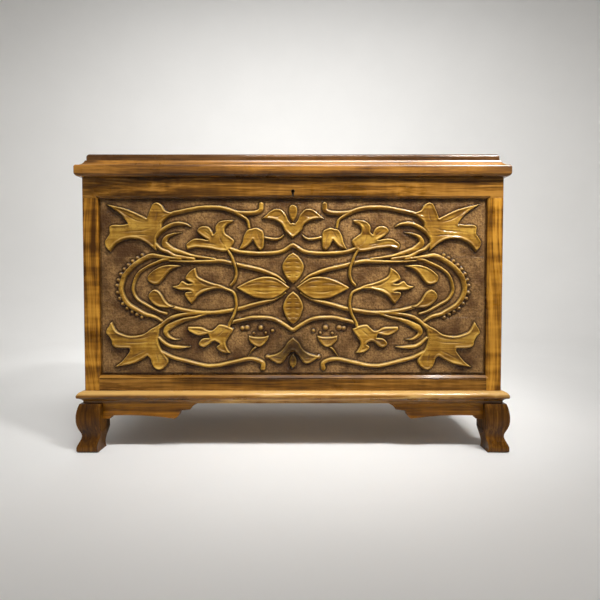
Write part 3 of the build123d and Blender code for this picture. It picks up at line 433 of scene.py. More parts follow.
@dataclass(frozen=True)
class Wood:
    """A wood with its figure, polish and wear.

    Attributes:
        name: The finish's name.
        pale: Colour of the palest streaks, of worn edges, and of the painted highlights on upper faces and
            carved rims.
        middle: Colour between the palest and the darkest.
        dark: Colour of the darkest streaks and the pores.
        streak: How many times finer the streaks are than a plain board's.
        softness: Half the range of noise that runs from dark to pale; less is more striped.
        figure: How strongly a ripple across the grain shows.
        blotch: How strongly dark clouds show.
        polish: Roughness of the polish where it is plain.
        coat: Weight of the clear coat.
        coat_rough: Roughness of the clear coat.
        gloss: Specular level under the coat.
        edge_wear_and_highlight: How strongly the arrises are worn pale; on carved wood, how strong the
            painted highlight along each motif's rim is.
        edge_radius: Rounding of the arrises.
        corner_reach: How far from a corner the soiling and painted shade reach.
        dirt_and_shade: How strongly they darken the wood.
        rub_wear_and_highlight: Strength of the painted highlight on faces that look up.
        board_change: How far one board's tone may differ from the next one's.
        sheen: Roughness that the polish has less and more in places.
        fibre_depth: Height of the fine fibres under the polish.
        wave_depth: Height of the slow waves in the surface.
        bump: Strength of the two.
    """

    name: str
    pale: Colour
    middle: Colour
    dark: Colour
    streak: float = 1.0
    softness: float = 0.17
    figure: float = 0.25
    blotch: float = 0.35
    polish: float = 0.32
    coat: float = 0.25
    coat_rough: float = 0.12
    gloss: float = 0.12
    edge_wear_and_highlight: float = 0.35
    edge_radius: float = 0.0012
    corner_reach: float = 0.02
    dirt_and_shade: float = 0.75
    rub_wear_and_highlight: float = 0.0
    board_change: float = 0.0
    sheen: tuple[float, float] = (-0.07, 0.12)
    fibre_depth: float = 0.00012
    wave_depth: float = 0.0005
    bump: float = 0.6

    def colour(self, graph: Graph, place: Socket) -> Socket:
        """The wood's colour before dirt and wear.

        Args:
            graph: The tree being laid.
            place: Coordinates with X along the grain.

        Returns:
            The colour.
        """
        drift = graph.product(graph.streaks(place, DRIFT), DRIFT_REACH)
        sideways = graph.add("ShaderNodeCombineXYZ", {1: drift}).outputs[0]
        bent = graph.add("ShaderNodeVectorMath", {0: place, 1: sideways}, operation="ADD").outputs[0]
        bands = graph.product(graph.streaks(bent, BANDS, self.streak), BAND_SHARE)
        lines = graph.product(graph.streaks(bent, LINES, self.streak), 1.0 - BAND_SHARE)
        ripple = graph.product(graph.less(graph.streaks(bent, RIPPLE), NOISE_MIDDLE), self.figure)
        level = graph.total(graph.total(bands, lines), ripple)
        level = graph.fit(level, NOISE_MIDDLE - self.softness, NOISE_MIDDLE + self.softness)
        plain = graph.ramp(level, [(0.0, self.dark), (0.5, self.middle), (1.0, self.pale)])
        shaded = graph.mix(BLOTCH_SHADE, plain, self.dark, "MULTIPLY")
        blotched = graph.product(graph.clouds(place, BLOTCHES), self.blotch)
        tinted = graph.mix(blotched, plain, shaded)
        pores = graph.fit(graph.streaks(bent, PORES), *PORE_LEVELS, 0.0, PORE_SHADE)
        return graph.mix(pores, tinted, self.dark)

    def build(self, grain: Grain) -> bpy.types.Material:
        """Lay the finish for boards whose grain runs one way.

        Args:
            grain: The way the grain runs.

        Returns:
            The material.
        """
        graph = Graph(f"{self.name}_{grain.name.lower()}")
        place = graph.board_place(grain)
        rounded = graph.rounded(self.edge_radius)
        colour = self.colour(graph, place)
        # Soiling with painted shade from ambient occlusion, in tight corners
        dirt_and_shade = graph.product(graph.dirt_and_corner_shade(self.corner_reach), self.dirt_and_shade)
        colour = graph.mix(dirt_and_shade, colour, graph.tint(colour, WOOD_DIRT_AND_SHADE))
        rub_wear_and_highlight = graph.product(graph.worn(rounded), graph.clouds(place, RUB_MARKS))
        colour = graph.mix(graph.product(rub_wear_and_highlight, self.edge_wear_and_highlight), colour, self.pale)
        if self.board_change:
            tone = graph.product(graph.board_value("board_tone", "Fac"), self.board_change)
            colour = graph.mix(tone, colour, graph.tint(colour, DEEPER_BOARD))
        # Painted highlight: faces that look up turn pale, as if lit from above.
        if self.rub_wear_and_highlight:
            upper = graph.fit(graph.upward(), *UPPER_FACE, 0.0, self.rub_wear_and_highlight)
            colour = graph.mix(upper, colour, self.pale)
        self.finish(graph, place, colour, rounded)
        return graph.material

    def finish(
        self,
        graph: Graph,
        place: Socket,
        colour: Socket,
        normal: Socket,
        stamped: Socket | None = None,
    ) -> None:
        """Set the colour, the sheen and the fine grain under the polish.

        Args:
            graph: The tree being laid.
            place: Coordinates with X along the grain.
            colour: The finished colour.
            normal: The rounded normal to build on.
            stamped: Height of marks stamped into the wood, if it has any.
        """
        shader = graph.shader.inputs
        graph.feed(shader["Base Color"], colour)
        smoothest, roughest = (self.polish + change for change in self.sheen)
        graph.feed(shader["Roughness"], graph.clouds(place, SHEEN, smoothest, roughest))
        shader["Specular IOR Level"].default_value = self.gloss
        shader["Coat Weight"].default_value = self.coat
        shader["Coat Roughness"].default_value = self.coat_rough
        shader["Coat IOR"].default_value = COAT_IOR
        fibres = graph.product(graph.streaks(place, FIBRES), self.fibre_depth)
        waves = graph.product(graph.streaks(place, WAVES), self.wave_depth)
        relief = graph.total(fibres, waves)
        if stamped is not None:
            relief = graph.total(relief, stamped)
        inputs = {"Strength": self.bump, "Distance": 1.0, "Height": relief, "Normal": normal}
        graph.feed(shader["Normal"], graph.add("ShaderNodeBump", inputs).outputs[0])


@dataclass(frozen=True)
class CarvedWood(Wood):
    """Carved wood: bright on top of the relief, dark and punched in the sunk ground, with painted shade
    and painted highlights.

    Attributes:
        slot: The slot that the record keeps for it; it is not used.
        ground_pale: Paler colour of the sunk ground.
        ground_dark: Darker colour of the ground, its specks and its punch marks.
        shadow: Colour of the painted shade in the deepest hollows, and of the dark patch.
        highlight_colour: Colour of the painted highlight on raised faces that look up.
        raised: Relief, as a share of the highest, that still is ground and that is all wood.
        punch_pitch: Distance between the fine punch marks.
        punch_edge: Distance from a mark's middle, in pitches, where it ends and where it is full.
        punch_depth: Depth of the fine punch marks.
        punch_shade: How dark they are.
        speck_shade: How dark the ground's specks are.
        grit: How dark the grit in the raised wood is.
        hollow_shade: Strength of the painted shade in the hollows beside the carving.
        top_highlight: Strength of that painted highlight.
        under_shade: Strength of the painted shade on faces that look down.
        dark_patch: Strength of the dark patch, where it is thinnest and where it is strongest.
    """

    slot: str = "carved_walnut"
    ground_pale: Colour = (0.32, 0.175, 0.06)
    ground_dark: Colour = (0.08, 0.035, 0.011)
    shadow: Colour = (0.016, 0.006, 0.002)
    highlight_colour: Colour = (0.8, 0.56, 0.22)
    raised: tuple[float, float] = (0.25, 0.8)
    punch_pitch: float = 0.0042
    punch_edge: tuple[float, float] = (0.42, 0.12)
    punch_depth: float = 0.0009
    punch_shade: float = 0.4
    speck_shade: float = 0.6
    grit: float = 0.45
    hollow_shade: float = 0.82
    top_highlight: float = 0.5
    under_shade: float = 0.6
    dark_patch: tuple[float, float] = (0.68, 0.96)

    def build(self, grain: Grain) -> bpy.types.Material:
        """Lay the carved finish.

        Args:
            grain: The way the grain runs.

        Returns:
            The material.
        """
        graph = Graph(f"{self.name}_{grain.name.lower()}")
        place = graph.board_place(grain)
        raised = graph.fit(graph.read("relief"), *self.raised)
        inputs = {"Vector": place, "Scale": 1.0 / self.punch_pitch}
        cells = graph.add("ShaderNodeTexVoronoi", inputs).outputs["Distance"]
        dimple = graph.fit(cells, *self.punch_edge)
        fresh = graph.mix(raised, self.ground(graph, place, dimple), self.top(graph, place))
        colour = self.painted_light_and_shade(graph, place, raised, fresh)
        sunk_dimple = graph.product(dimple, graph.less(1.0, raised))
        stamped = graph.product(sunk_dimple, -self.punch_depth)
        self.finish(graph, place, colour, graph.rounded(self.edge_radius), stamped)
        return graph.material

    def ground(self, graph: Graph, place: Socket, dimple: Socket) -> Socket:
        """The colour of the sunk ground.

        Args:
            graph: The tree being laid.
            place: Coordinates with X along the grain.
            dimple: The punch marks, from 0 between them to 1 in their middles.

        Returns:
            The colour.
        """
        earth = graph.mix(graph.clouds(place, EARTH), self.ground_dark, self.ground_pale)
        specks = graph.product(graph.clouds(place, SPECKS), self.speck_shade)
        earth = graph.mix(specks, earth, self.ground_dark)
        return graph.mix(graph.product(dimple, self.punch_shade), earth, self.ground_dark)

    def top(self, graph: Graph, place: Socket) -> Socket:
        """The colour of the raised wood, with grit in it.

        Args:
            graph: The tree being laid.
            place: Coordinates with X along the grain.

        Returns:
            The colour.
        """
        grit = graph.product(graph.clouds(place, GRIT), self.grit)
        return graph.mix(grit, self.colour(graph, place), self.dark)

    def painted_light_and_shade(self, graph: Graph, place: Socket, raised: Socket, colour: Socket) -> Socket:
        """The colour with painted shade in the hollows and under the relief, painted highlights on rims
        and upper faces, and the dark patch.

        Args:
            graph: The tree being laid.
            place: Coordinates with X along the grain.
            raised: The relief, from 0 on the ground to 1 on top.
            colour: The colour before.

        Returns:
            The colour.
        """
        # Painted shade in the hollows beside each motif.
        hollow = graph.product(graph.read("hollow"), self.hollow_shade)
        colour = graph.mix(hollow, colour, self.shadow)
        # Painted highlight along the rim of every motif.
        crest = graph.product(graph.read("crest"), self.edge_wear_and_highlight)
        colour = graph.mix(crest, colour, self.pale)
        upward = graph.upward()
        # Painted highlight on raised faces that look up.
        top_highlight_mask = graph.product(graph.fit(upward, *UPPER_FACE, 0.0, self.top_highlight), raised)
        colour = graph.mix(top_highlight_mask, colour, self.highlight_colour)
        # A mottled dark patch over the lower tulip, in the hollows' colour.
        patch_share = graph.product(graph.read("dark_patch"), graph.clouds(place, PATCH_MOTTLE, *self.dark_patch))
        colour = graph.mix(patch_share, colour, self.shadow)
        # Painted shade on faces that look down.
        return graph.mix(graph.fit(upward, *UNDER_FACE, 0.0, self.under_shade), colour, self.dark)


@dataclass(frozen=True)
class Metal:
    """An old metal: bright where it is worn, dull elsewhere.

    Attributes:
        name: The finish's name.
        bright: Colour of the clean metal.
        dull: Colour under tarnish.
        polish: Roughness of the clean metal.
        tarnish_rough: How much rougher the tarnish is.
        edge_radius: Rounding of the arrises.
        edge_wear_and_highlight: How strongly they are worn bright.
        corner_reach: How far from a corner the soiling and painted shade reach.
        dirt_and_shade: How strongly they darken the metal.
        scratch_depth: Depth of the fine scratches.
        bump: Strength of the scratches.
    """

    name: str
    bright: Colour
    dull: Colour
    polish: float = 0.3
    tarnish_rough: float = 0.25
    edge_radius: float = 0.0004
    edge_wear_and_highlight: float = 0.7
    corner_reach: float = 0.006
    dirt_and_shade: float = 0.6
    scratch_depth: float = 0.00008
    bump: float = 0.3

    def build(self, grain: Grain) -> bpy.types.Material:
        """Lay the metal's finish.

        Args:
            grain: The way its scratches run.

        Returns:
            The material.
        """
        graph = Graph(f"{self.name}_{grain.name.lower()}")
        place = graph.board_place(grain)
        rounded = graph.rounded(self.edge_radius)
        film = graph.clouds(place, TARNISH)
        colour = graph.mix(film, self.bright, self.dull)
        colour = graph.mix(graph.product(graph.worn(rounded), self.edge_wear_and_highlight), colour, self.bright)
        # Soiling with painted shade from ambient occlusion, in tight corners
        dirt_and_shade = graph.product(graph.dirt_and_corner_shade(self.corner_reach), self.dirt_and_shade)
        colour = graph.mix(dirt_and_shade, colour, METAL_DIRT_AND_SHADE)
        shader = graph.shader.inputs
        graph.feed(shader["Base Color"], colour)
        shader["Metallic"].default_value = 1.0
        rough = graph.fit(film, 0.0, 1.0, self.polish, self.polish + self.tarnish_rough)
        graph.feed(shader["Roughness"], rough)
        scratches = graph.streaks(place, SCRATCHES)
        inputs = {
            "Strength": self.bump,
            "Distance": self.scratch_depth,
            "Height": scratches,
            "Normal": rounded,
        }
        graph.feed(shader["Normal"], graph.add("ShaderNodeBump", inputs).outputs[0])
        return graph.material


Finish = Wood | Metal

RAIL_WALNUT = Wood(
    "rail_walnut", pale=(0.4, 0.185, 0.03), middle=(0.19, 0.077, 0.007), dark=(0.05, 0.018, 0.0015),
    softness=0.13, figure=0.1, blotch=0.3,
)
STILE_WALNUT = Wood(
    "figured_walnut", pale=(0.62, 0.29, 0.032), middle=(0.32, 0.13, 0.01), dark=(0.07, 0.023, 0.001),
    softness=0.14, figure=0.36,
)
WING_WALNUT = Wood(
    "wing_walnut", pale=(0.48, 0.2, 0.014), middle=(0.27, 0.1, 0.005), dark=(0.08, 0.026, 0.001),
    figure=0.1,
)
END_WALNUT = Wood(
    "end_walnut", pale=(0.28, 0.12, 0.025), middle=(0.17, 0.07, 0.012), dark=(0.07, 0.026, 0.005),
    figure=0.12, board_change=0.4,
)
LID_MOULDING_WALNUT = Wood(
    "moulding_walnut", pale=(0.42, 0.18, 0.022), middle=(0.21, 0.082, 0.008), dark=(0.05, 0.016, 0.001),
    softness=0.14, figure=0.08, blotch=0.5, polish=0.3, coat=0.8, coat_rough=0.26,
)
# Its pale colour and its upward faces carry a painted highlight along the plinth's top.
PLINTH_WALNUT = Wood(
    "plinth_walnut", pale=(0.7, 0.42, 0.13), middle=(0.26, 0.105, 0.009), dark=(0.08, 0.027, 0.002),
    streak=0.6, figure=0.08, polish=0.28, coat=0.7, edge_wear_and_highlight=0.2, rub_wear_and_highlight=0.75,
)
LID_TOP_WALNUT = Wood(
    "top_walnut", pale=(0.21, 0.095, 0.025), middle=(0.12, 0.05, 0.011), dark=(0.04, 0.015, 0.003),
    figure=0.1, polish=0.22, coat=0.5, board_change=0.4,
)
FOOT_WALNUT = Wood(
    "foot_walnut", pale=(0.22, 0.088, 0.009), middle=(0.1, 0.035, 0.002), dark=(0.028, 0.009, 0.001),
    figure=0.12, coat=0.2, gloss=0.1,
)
AGED_DEAL = Wood(
    "aged_deal", pale=(0.56, 0.4, 0.22), middle=(0.42, 0.28, 0.14), dark=(0.26, 0.16, 0.07),
    streak=1.8, figure=0.05, polish=0.62, coat=0.0, edge_wear_and_highlight=0.15, board_change=0.8,
)
CARVED_WALNUT = CarvedWood(
    "carved_walnut", pale=(0.62, 0.36, 0.055), middle=(0.34, 0.165, 0.016), dark=(0.12, 0.046, 0.003),
    blotch=0.55, polish=0.33, coat=0.42, gloss=0.1, edge_wear_and_highlight=0.5, edge_radius=0.0008,
)
OLD_BRASS = Metal("old_brass", bright=(0.72, 0.5, 0.2), dull=(0.3, 0.19, 0.075))
DARK_BRASS = Metal("dark_brass", bright=(0.15, 0.085, 0.035), dull=(0.05, 0.028, 0.012))
LOCK_BRASS = Metal("lock_brass", bright=(0.68, 0.49, 0.22), dull=(0.34, 0.23, 0.1))
LOCK_STEEL = Metal("lock_steel", bright=(0.45, 0.43, 0.4), dull=(0.2, 0.18, 0.16))
SCREW_STEEL = Metal("screw_steel", bright=(0.4, 0.37, 0.33), dull=(0.14, 0.12, 0.1))


class Dresser:
    """Gives each piece its finish, and keeps one material for each finish and grain.

    Attributes:
        shift_step: How far the grain moves from one piece to the next, along its axes.
        tone_step: How far the tone moves on, as a share of its range, which it then starts again.
    """

    shift_step: Place = (0.37, 0.83, 0.59)
    tone_step: float = 0.618

    def __init__(self, frame: dict) -> None:
        """Keep the frame's solids.
        """
        self.nodes = frame["nodes"]
        self.kept: dict[tuple[str, Grain], bpy.types.Material] = {}
        self.count = 0

    def material(self, finish: Finish, grain: Grain) -> bpy.types.Material:
        """The material of a finish with its grain one way, made once.

        Args:
            finish: The finish.
            grain: The way its grain runs.

        Returns:
            The material.
        """
        key = (finish.name, grain)
        if key not in self.kept:
            self.kept[key] = finish.build(grain)
        return self.kept[key]

    def dress(self, piece: bpy.types.Object, finish: Finish, grain: Grain) -> None:
        """Put a finish on a piece, with its own stretch of grain and its own tone.

        Args:
            piece: The piece.
            finish: Its finish.
            grain: The way its grain runs.
        """
        self.count += 1
        piece["grain_shift"] = [step * self.count for step in self.shift_step]
        piece["board_tone"] = self.tone_step * self.count % 1.0
        piece.data.materials.clear()
        piece.data.materials.append(self.material(finish, grain))
        LOG.info("%s: %s, %s", piece.name, finish.name, grain.name.lower())

    def solids(self, names: list[str], finish: Finish, grain: Grain) -> None:
        """Put a finish on some of the chest's own solids.

        Args:
            names: Their names.
            finish: The finish.
            grain: The way its grain runs.
        """
        for name in names:
            self.dress(self.nodes[name], finish, grain)


# ------------------------------------------------------------------------------------ carved relief
Point = tuple[float, ...]     # across and up the panel; a corner has SHARP as its third item
SHARP = True
RELIEF_TOP = 7.4              # height of the flowers and leaves over the ground
SHORTEST = 1e-9               # square of the length that a line is taken to have at least
THINNEST = 0.1                # half width that a stem is taken to have at least
SHOULDER = 0.5                # share of a stem's height that the edge of its rounded top has


def smooth_step(value: np.ndarray) -> np.ndarray:
    """Ease from 0 to 1, with both ends held."""
    held = np.clip(value, 0.0, 1.0)
    return held * held * (3.0 - 2.0 * held)


def curve_through(points: np.ndarray, steps: int = 8) -> np.ndarray:
    """A smooth line through points, with each bend set by the two points next to it.

    Args:
        points: The points, one to a row.
        steps: Short lines between two points.

    Returns:
        Points along the line, the given ones among them.
    """
    if len(points) < 3:
        return points
    ends = np.vstack([2 * points[0] - points[1], points, 2 * points[-1] - points[-2]])
    share = np.linspace(0.0, 1.0, steps, endpoint=False)[:, None]
    spans = []
    for before, start, stop, after in zip(ends, ends[1:], ends[2:], ends[3:]):
        bend = 2 * before - 5 * start + 4 * stop - after
        twist = 3 * start - before - 3 * stop + after
        spans.append(start + 0.5 * share * ((stop - before) + share * (bend + share * twist)))
    return np.vstack([*spans, points[-1:]])


def outline_through(points: list[Point]) -> np.ndarray:
    """A closed outline, smooth except at the points marked SHARP.

    Args:
        points: The outline's points in order; the first is a sharp one.

    Returns:
        Points along the outline.
    """
    sharp = [i for i, point in enumerate(points) if len(point) > 2]
    flat = np.array([point[:2] for point in points], float)
    runs = []
    for start, stop in zip(sharp, [*sharp[1:], sharp[0] + len(points)]):
        run = [flat[i % len(points)] for i in range(start, stop + 1)]
        runs.append(curve_through(np.array(run))[:-1])
    return np.vstack(runs)


def distance_to_line(spots: np.ndarray, line: np.ndarray) -> tuple[np.ndarray, np.ndarray]:
    """How far spots are from a line, and where along it they are nearest.

    Args:
        spots: The spots, one to a row.
        line: The line's points, one to a row.

    Returns:
        Each spot's distance, and its nearest place as a number of points along the line.
    """
    starts, runs = line[:-1], line[1:] - line[:-1]
    lengths = np.maximum((runs**2).sum(1), SHORTEST)
    nearest = np.full(len(spots), np.inf)
    where = np.zeros(len(spots))
    for index, (start, run, length) in enumerate(zip(starts, runs, lengths)):
        share = np.clip((spots - start) @ run / length, 0.0, 1.0)
        gap = ((spots - start - share[:, None] * run) ** 2).sum(1)
        closer = gap < nearest
        nearest[closer] = gap[closer]
        where[closer] = index + share[closer]
    return np.sqrt(nearest), where


def is_inside(spots: np.ndarray, outline: np.ndarray) -> np.ndarray:
    """Which spots lie inside a closed outline.

    Args:
        spots: The spots, one to a row.
        outline: The outline's points, one to a row.

    Returns:
        True for each spot inside.
    """
    inside = np.zeros(len(spots), bool)
    for first, second in zip(outline, np.roll(outline, -1, axis=0)):
        if first[1] == second[1]:
            continue
        crosses = (first[1] > spots[:, 1]) != (second[1] > spots[:, 1])
        reach = first[0] + (spots[:, 1] - first[1]) * (second[0] - first[0]) / (second[1] - first[1])
        inside ^= crosses & (spots[:, 0] < reach)
    return inside


@dataclass(frozen=True)
class Stem:
    """A rounded band that follows a line and may swell and thin out along it.

    Attributes:
        path: Points along its middle.
        width: Full width where it doesn't swell or thin out.
        swell: Shares of the width, at even steps from its start to its end.
        height: Height over the ground.
        join: How it meets what was carved before it.
    """

    path: list[Point]
    width: float = 10.5
    swell: tuple[float, ...] = (1.0, 1.0)
    height: float = 6.8
    join: Join = Join.INTO

    def points(self) -> list[Point]:
        """The points it is drawn by."""
        return self.path

    def inside(self, spots: np.ndarray) -> tuple[np.ndarray, np.ndarray]:
        """Depth inside the band, and its half width there.

        Args:
            spots: Places on the panel.

        Returns:
            Depth from the edge, below 0 outside, and half width.
        """
        line = curve_through(np.array(self.path, float))
        gap, where = distance_to_line(spots, line)
        stops = np.linspace(0.0, 1.0, len(self.swell))
        half = 0.5 * self.width * np.interp(where / (len(line) - 1), stops, self.swell)
        return half - gap, half

    def rise(self, depth: np.ndarray, half: np.ndarray, wall: float) -> np.ndarray:
        """Height over the ground: steep sides and a rounded top.

        Args:
            depth: Depth from the edge.
            half: Half width.
            wall: Width of the steep side.

        Returns:
            The height.
        """
        crown = np.sqrt(np.clip(depth / np.maximum(half, THINNEST), 0.0, 1.0))
        return self.height * smooth_step(depth / wall) * (SHOULDER + (1.0 - SHOULDER) * crown)


@dataclass(frozen=True)
class Leaf:
    """A petal or flower with a raised rim, a dished middle and carved veins.

    Attributes:
        outline: Points round it, or round its right half if it is central.
        veins: Points along each vein.
        height: Height of the rim over the ground.
        dish: How much lower the middle is than the rim.
        rim: Width of the rim.
        slope: Width of the slope from the rim to the dished middle.
        grow: How far it reaches past its outline.
        central: Whether it stands on the panel's middle line.
        join: How it meets what was carved before it.
    """

    outline: list[Point]
    veins: list[list[Point]] = field(default_factory=list)
    height: float = RELIEF_TOP
    dish: float = 2.2
    rim: float = 2.6
    slope: float = 6.0
    grow: float = 1.0
    central: bool = False
    join: Join = Join.OVER

    def points(self) -> list[Point]:
        """The points it is drawn by, with the left half added to a central motif.

        Returns:
            The points.
        """
        if not self.central:
            return self.outline
        left = [(-point[0], *point[1:]) for point in self.outline[::-1] if point[0] > 0]
        return self.outline + left

    def inside(self, spots: np.ndarray) -> tuple[np.ndarray, np.ndarray]:
        """Depth inside the leaf, which also stands for its half width.

        Args:
            spots: Places on the panel.

        Returns:
            Depth from the edge, below 0 outside, twice.
        """
        outline = outline_through(self.points())
        gap, _ = distance_to_line(spots, np.vstack([outline, outline[:1]]))
        depth = np.where(is_inside(spots, outline), gap, -gap) + self.grow
        return depth, depth

    def rise(self, depth: np.ndarray, half: np.ndarray, wall: float) -> np.ndarray:
        """Height over the ground: steep sides, a rim and a dished middle.

        Args:
            depth: Depth from the edge.
            half: Half width, which only a stem needs.
            wall: Width of the steep side.

        Returns:
            The height.
        """
        sunk = self.dish * smooth_step((depth - self.rim) / self.slope)
        return self.height * smooth_step(depth / wall) - sunk


@dataclass
class ReliefField:
    """Heights of the carved ground and its motifs: first the right half of the panel, then all of it.

    Attributes:
        across: Places of the field's columns.
        levels: Places of its rows.
        wall: Width of a motif's steep side.
        gap: Width of the ground cleared round a motif that is carved over others.
        reach: How far round a motif the field is worked.
        bead_reach: How far round a bead the field is worked.
        bead_height: Height of a bead over the ground.
        bead_wall: Width of a bead's steep side.
        bead_start: How far up that side a bead starts, as a share.
        crest_inset: Distance of a motif's crest from its edge.
        crest_width: Width of the crest.
        vein_width: Half width of a vein.
        vein_depth: Its depth.
        vein_end: Share of a vein's length, at each end, along which it stays at its shallowest.
        low: Height under which a place counts as ground.
        undercut: Extra depth of the ground beside a motif.
        undercut_width: Distance from the motif over which that depth falls off.
        edge_fade: Width over which the relief sinks to nothing at the field's edge.
        gouge: Height of the uneven gouge marks.
        short_share: Share of that height that is short marks; the rest is slow swells.
        mark_length: Wavelengths of the short gouge marks, across and up, each divided by 2 pi.
        mark_sway: How far they sway, across and up, in radians.
        sway_length: Wavelengths of that sway, up and across, each divided by 2 pi.
        swell_length: Wavelengths of the slow swells, across and up, each divided by 2 pi.
        swell_start: Where in their wave the swells start, across and up, in radians.
        punch_pitch: Distance between punch marks.
        punch_radius: Radius of a mark, in pitches.
        punch_stray: How far a mark may stray from its place, in pitches.
        punch_depth: Depth of a mark.
        punch_seed: Seed of the strays.
    """

    across: np.ndarray
    levels: np.ndarray
    wall: float = 2.6
    gap: float = 1.6
    reach: float = 14.0
    bead_reach: float = 6.0
    bead_height: float = 5.6
    bead_wall: float = 1.2
    bead_start: float = 0.2
    crest_inset: float = 1.9
    crest_width: float = 1.1
    vein_width: float = 2.6
    vein_depth: float = 1.4
    vein_end: float = 0.06
    low: float = 2.0
    undercut: float = 0.9
    undercut_width: float = 2.2
    edge_fade: float = 3.0
    gouge: float = 0.5
    short_share: float = 0.4
    mark_length: tuple[float, float] = (5.3, 4.4)
    mark_sway: tuple[float, float] = (1.7, 1.3)
    sway_length: tuple[float, float] = (9.1, 7.7)
    swell_length: tuple[float, float] = (23.0, 19.0)
    swell_start: tuple[float, float] = (0.8, 0.3)
    punch_pitch: float = 6.2
    punch_radius: float = 0.55
    punch_stray: float = 0.32
    punch_depth: float = 0.8
    punch_seed: int = 11

    def __post_init__(self) -> None:
        """Start from bare ground, with no motif near."""
        shape = (len(self.levels), len(self.across))
        self.height = np.zeros(shape)
        self.outside = np.full(shape, np.inf)
        self.crest = np.zeros(shape)

    def window(self, points: np.ndarray, reach: float) -> tuple[slice, slice]:
        """The part of the field near some points.

        Args:
            points: The points.
            reach: How far round them.

        Returns:
            Rows and columns.
        """
        low, high = points.min(0) - reach, points.max(0) + reach
        rows = slice(*np.searchsorted(self.levels, (low[1], high[1])))
        columns = slice(*np.searchsorted(self.across, (low[0], high[0])))
        return rows, columns

    def spots(self, rows: slice, columns: slice) -> np.ndarray:
        """The places of a window, one to a row."""
        across, levels = np.meshgrid(self.across[columns], self.levels[rows])
        return np.column_stack([across.ravel(), levels.ravel()])

    def near(self, rows: slice, columns: slice, depth: np.ndarray) -> None:
        """Note how far a window's places are outside a form that was carved.

        Args:
            rows: The window's rows.
            columns: The window's columns.
            depth: Depth inside the form, below 0 outside.
        """
        outside = self.outside[rows, columns]
        np.minimum(outside, np.maximum(-depth, 0.0), out=outside)

    def carve(self, motif: Stem | Leaf) -> None:
        """Carve one motif over or into what is there.

        Args:
            motif: The motif.
        """
        points = np.array([point[:2] for point in motif.points()], float)
        rows, columns = self.window(points, self.reach)
        now = self.height[rows, columns]
        if 0 in now.shape:
            return
        spots = self.spots(rows, columns)
        depth, half = (values.reshape(now.shape) for values in motif.inside(spots))
        rise = motif.rise(depth, half, self.wall)
        if motif.join is Join.OVER:
            cleared = now * smooth_step(-depth / self.gap)
            now[...] = np.where(depth > 0, rise, np.where(depth > -self.gap, cleared, now))
        else:
            np.maximum(now, rise, out=now)
        # The rim line of each motif, which the carved finish paints as a highlight.
        off_crest = (depth - self.crest_inset) / self.crest_width
        crest = self.crest[rows, columns]
        crest[depth > 0] = 0.0
        np.maximum(crest, np.exp(-(off_crest**2)) * (depth > 0), out=crest)
        self.near(rows, columns, depth)
        if isinstance(motif, Leaf):
            for vein in motif.veins:
                self.score(vein)

    def score(self, path: list[Point]) -> None:
        """Cut one vein into what is raised.

        Args:
            path: The vein's points.
        """
        line = curve_through(np.array(path, float))
        rows, columns = self.window(line, self.vein_width)
        now = self.height[rows, columns]
        gap, where = distance_to_line(self.spots(rows, columns), line)
        along = np.clip(where / (len(line) - 1), self.vein_end, 1.0 - self.vein_end)
        cut = self.vein_depth * np.sin(np.pi * along) * (1.0 - smooth_step(gap / self.vein_width))
        now[...] = np.where(now > self.low, now - cut.reshape(now.shape), now)

    def bead(self, middle: tuple[float, float], radius: float) -> None:
        """Carve a round bead.

        Args:
            middle: Its middle.
            radius: Its radius.
        """
        rows, columns = self.window(np.array([middle]), radius + self.bead_reach)
        spots = self.spots(rows, columns) - np.array(middle)
        now = self.height[rows, columns]
        depth = radius - np.sqrt((spots**2).sum(1)).reshape(now.shape)
        dome = self.bead_height * np.sqrt(np.clip(depth / radius, 0.0, 1.0))
        dome *= smooth_step(depth / self.bead_wall + self.bead_start)
        np.maximum(now, np.where(depth > 0, dome, 0.0), out=now)
        self.near(rows, columns, depth)

    def mirror(self) -> None:
        """Add the left half, a mirror image of the right one."""
        self.across = np.concatenate([-self.across[:0:-1], self.across])
        for name in ("height", "outside", "crest"):
            half = getattr(self, name)
            setattr(self, name, np.hstack([half[:, :0:-1], half]))

    def marks(self, across: np.ndarray, levels: np.ndarray) -> np.ndarray:
        """The uneven marks a gouge leaves: short ones over slow swells.

        Args:
            across: Place of each spot across the panel.
            levels: Place of each spot up the panel.

        Returns:
            The height at each spot, from -1 to 1.
        """
        sway = self.mark_sway[0] * np.sin(levels / self.sway_length[0])
        short = np.sin(across / self.mark_length[0] + sway)
        sway = self.mark_sway[1] * np.sin(across / self.sway_length[1])
        short = short * np.sin(levels / self.mark_length[1] + sway)
        slow = np.sin(across / self.swell_length[0] + self.swell_start[0])
        slow = slow * np.cos(levels / self.swell_length[1] + self.swell_start[1])
        return self.short_share * short + (1.0 - self.short_share) * slow

    def punches(self, across: np.ndarray, levels: np.ndarray) -> np.ndarray:
        """Depth of the punch marks that matt the ground.

        Args:
            across: Place of each spot across the panel.
            levels: Place of each spot up the panel.

        Returns:
            The depth at each spot.
        """
        columns = (across - across.min()) / self.punch_pitch
        rows = (levels - levels.min()) / self.punch_pitch
        cells = (rows.astype(int) + 1, columns.astype(int) + 1)
        shape = (cells[0].max() + 2, cells[1].max() + 2, 2)
        random = np.random.default_rng(self.punch_seed)
        strays = random.uniform(-self.punch_stray, self.punch_stray, shape)
        nearest = np.full(across.shape, np.inf)
        for row in (-1, 0, 1):
            for column in (-1, 0, 1):
                stray = strays[cells[0] + row, cells[1] + column]
                up = cells[0] - 0.5 + row + stray[..., 0] - rows
                aside = cells[1] - 0.5 + column + stray[..., 1] - columns
                np.minimum(nearest, np.hypot(up, aside), out=nearest)
        return self.punch_depth * (1.0 - smooth_step(nearest / self.punch_radius))

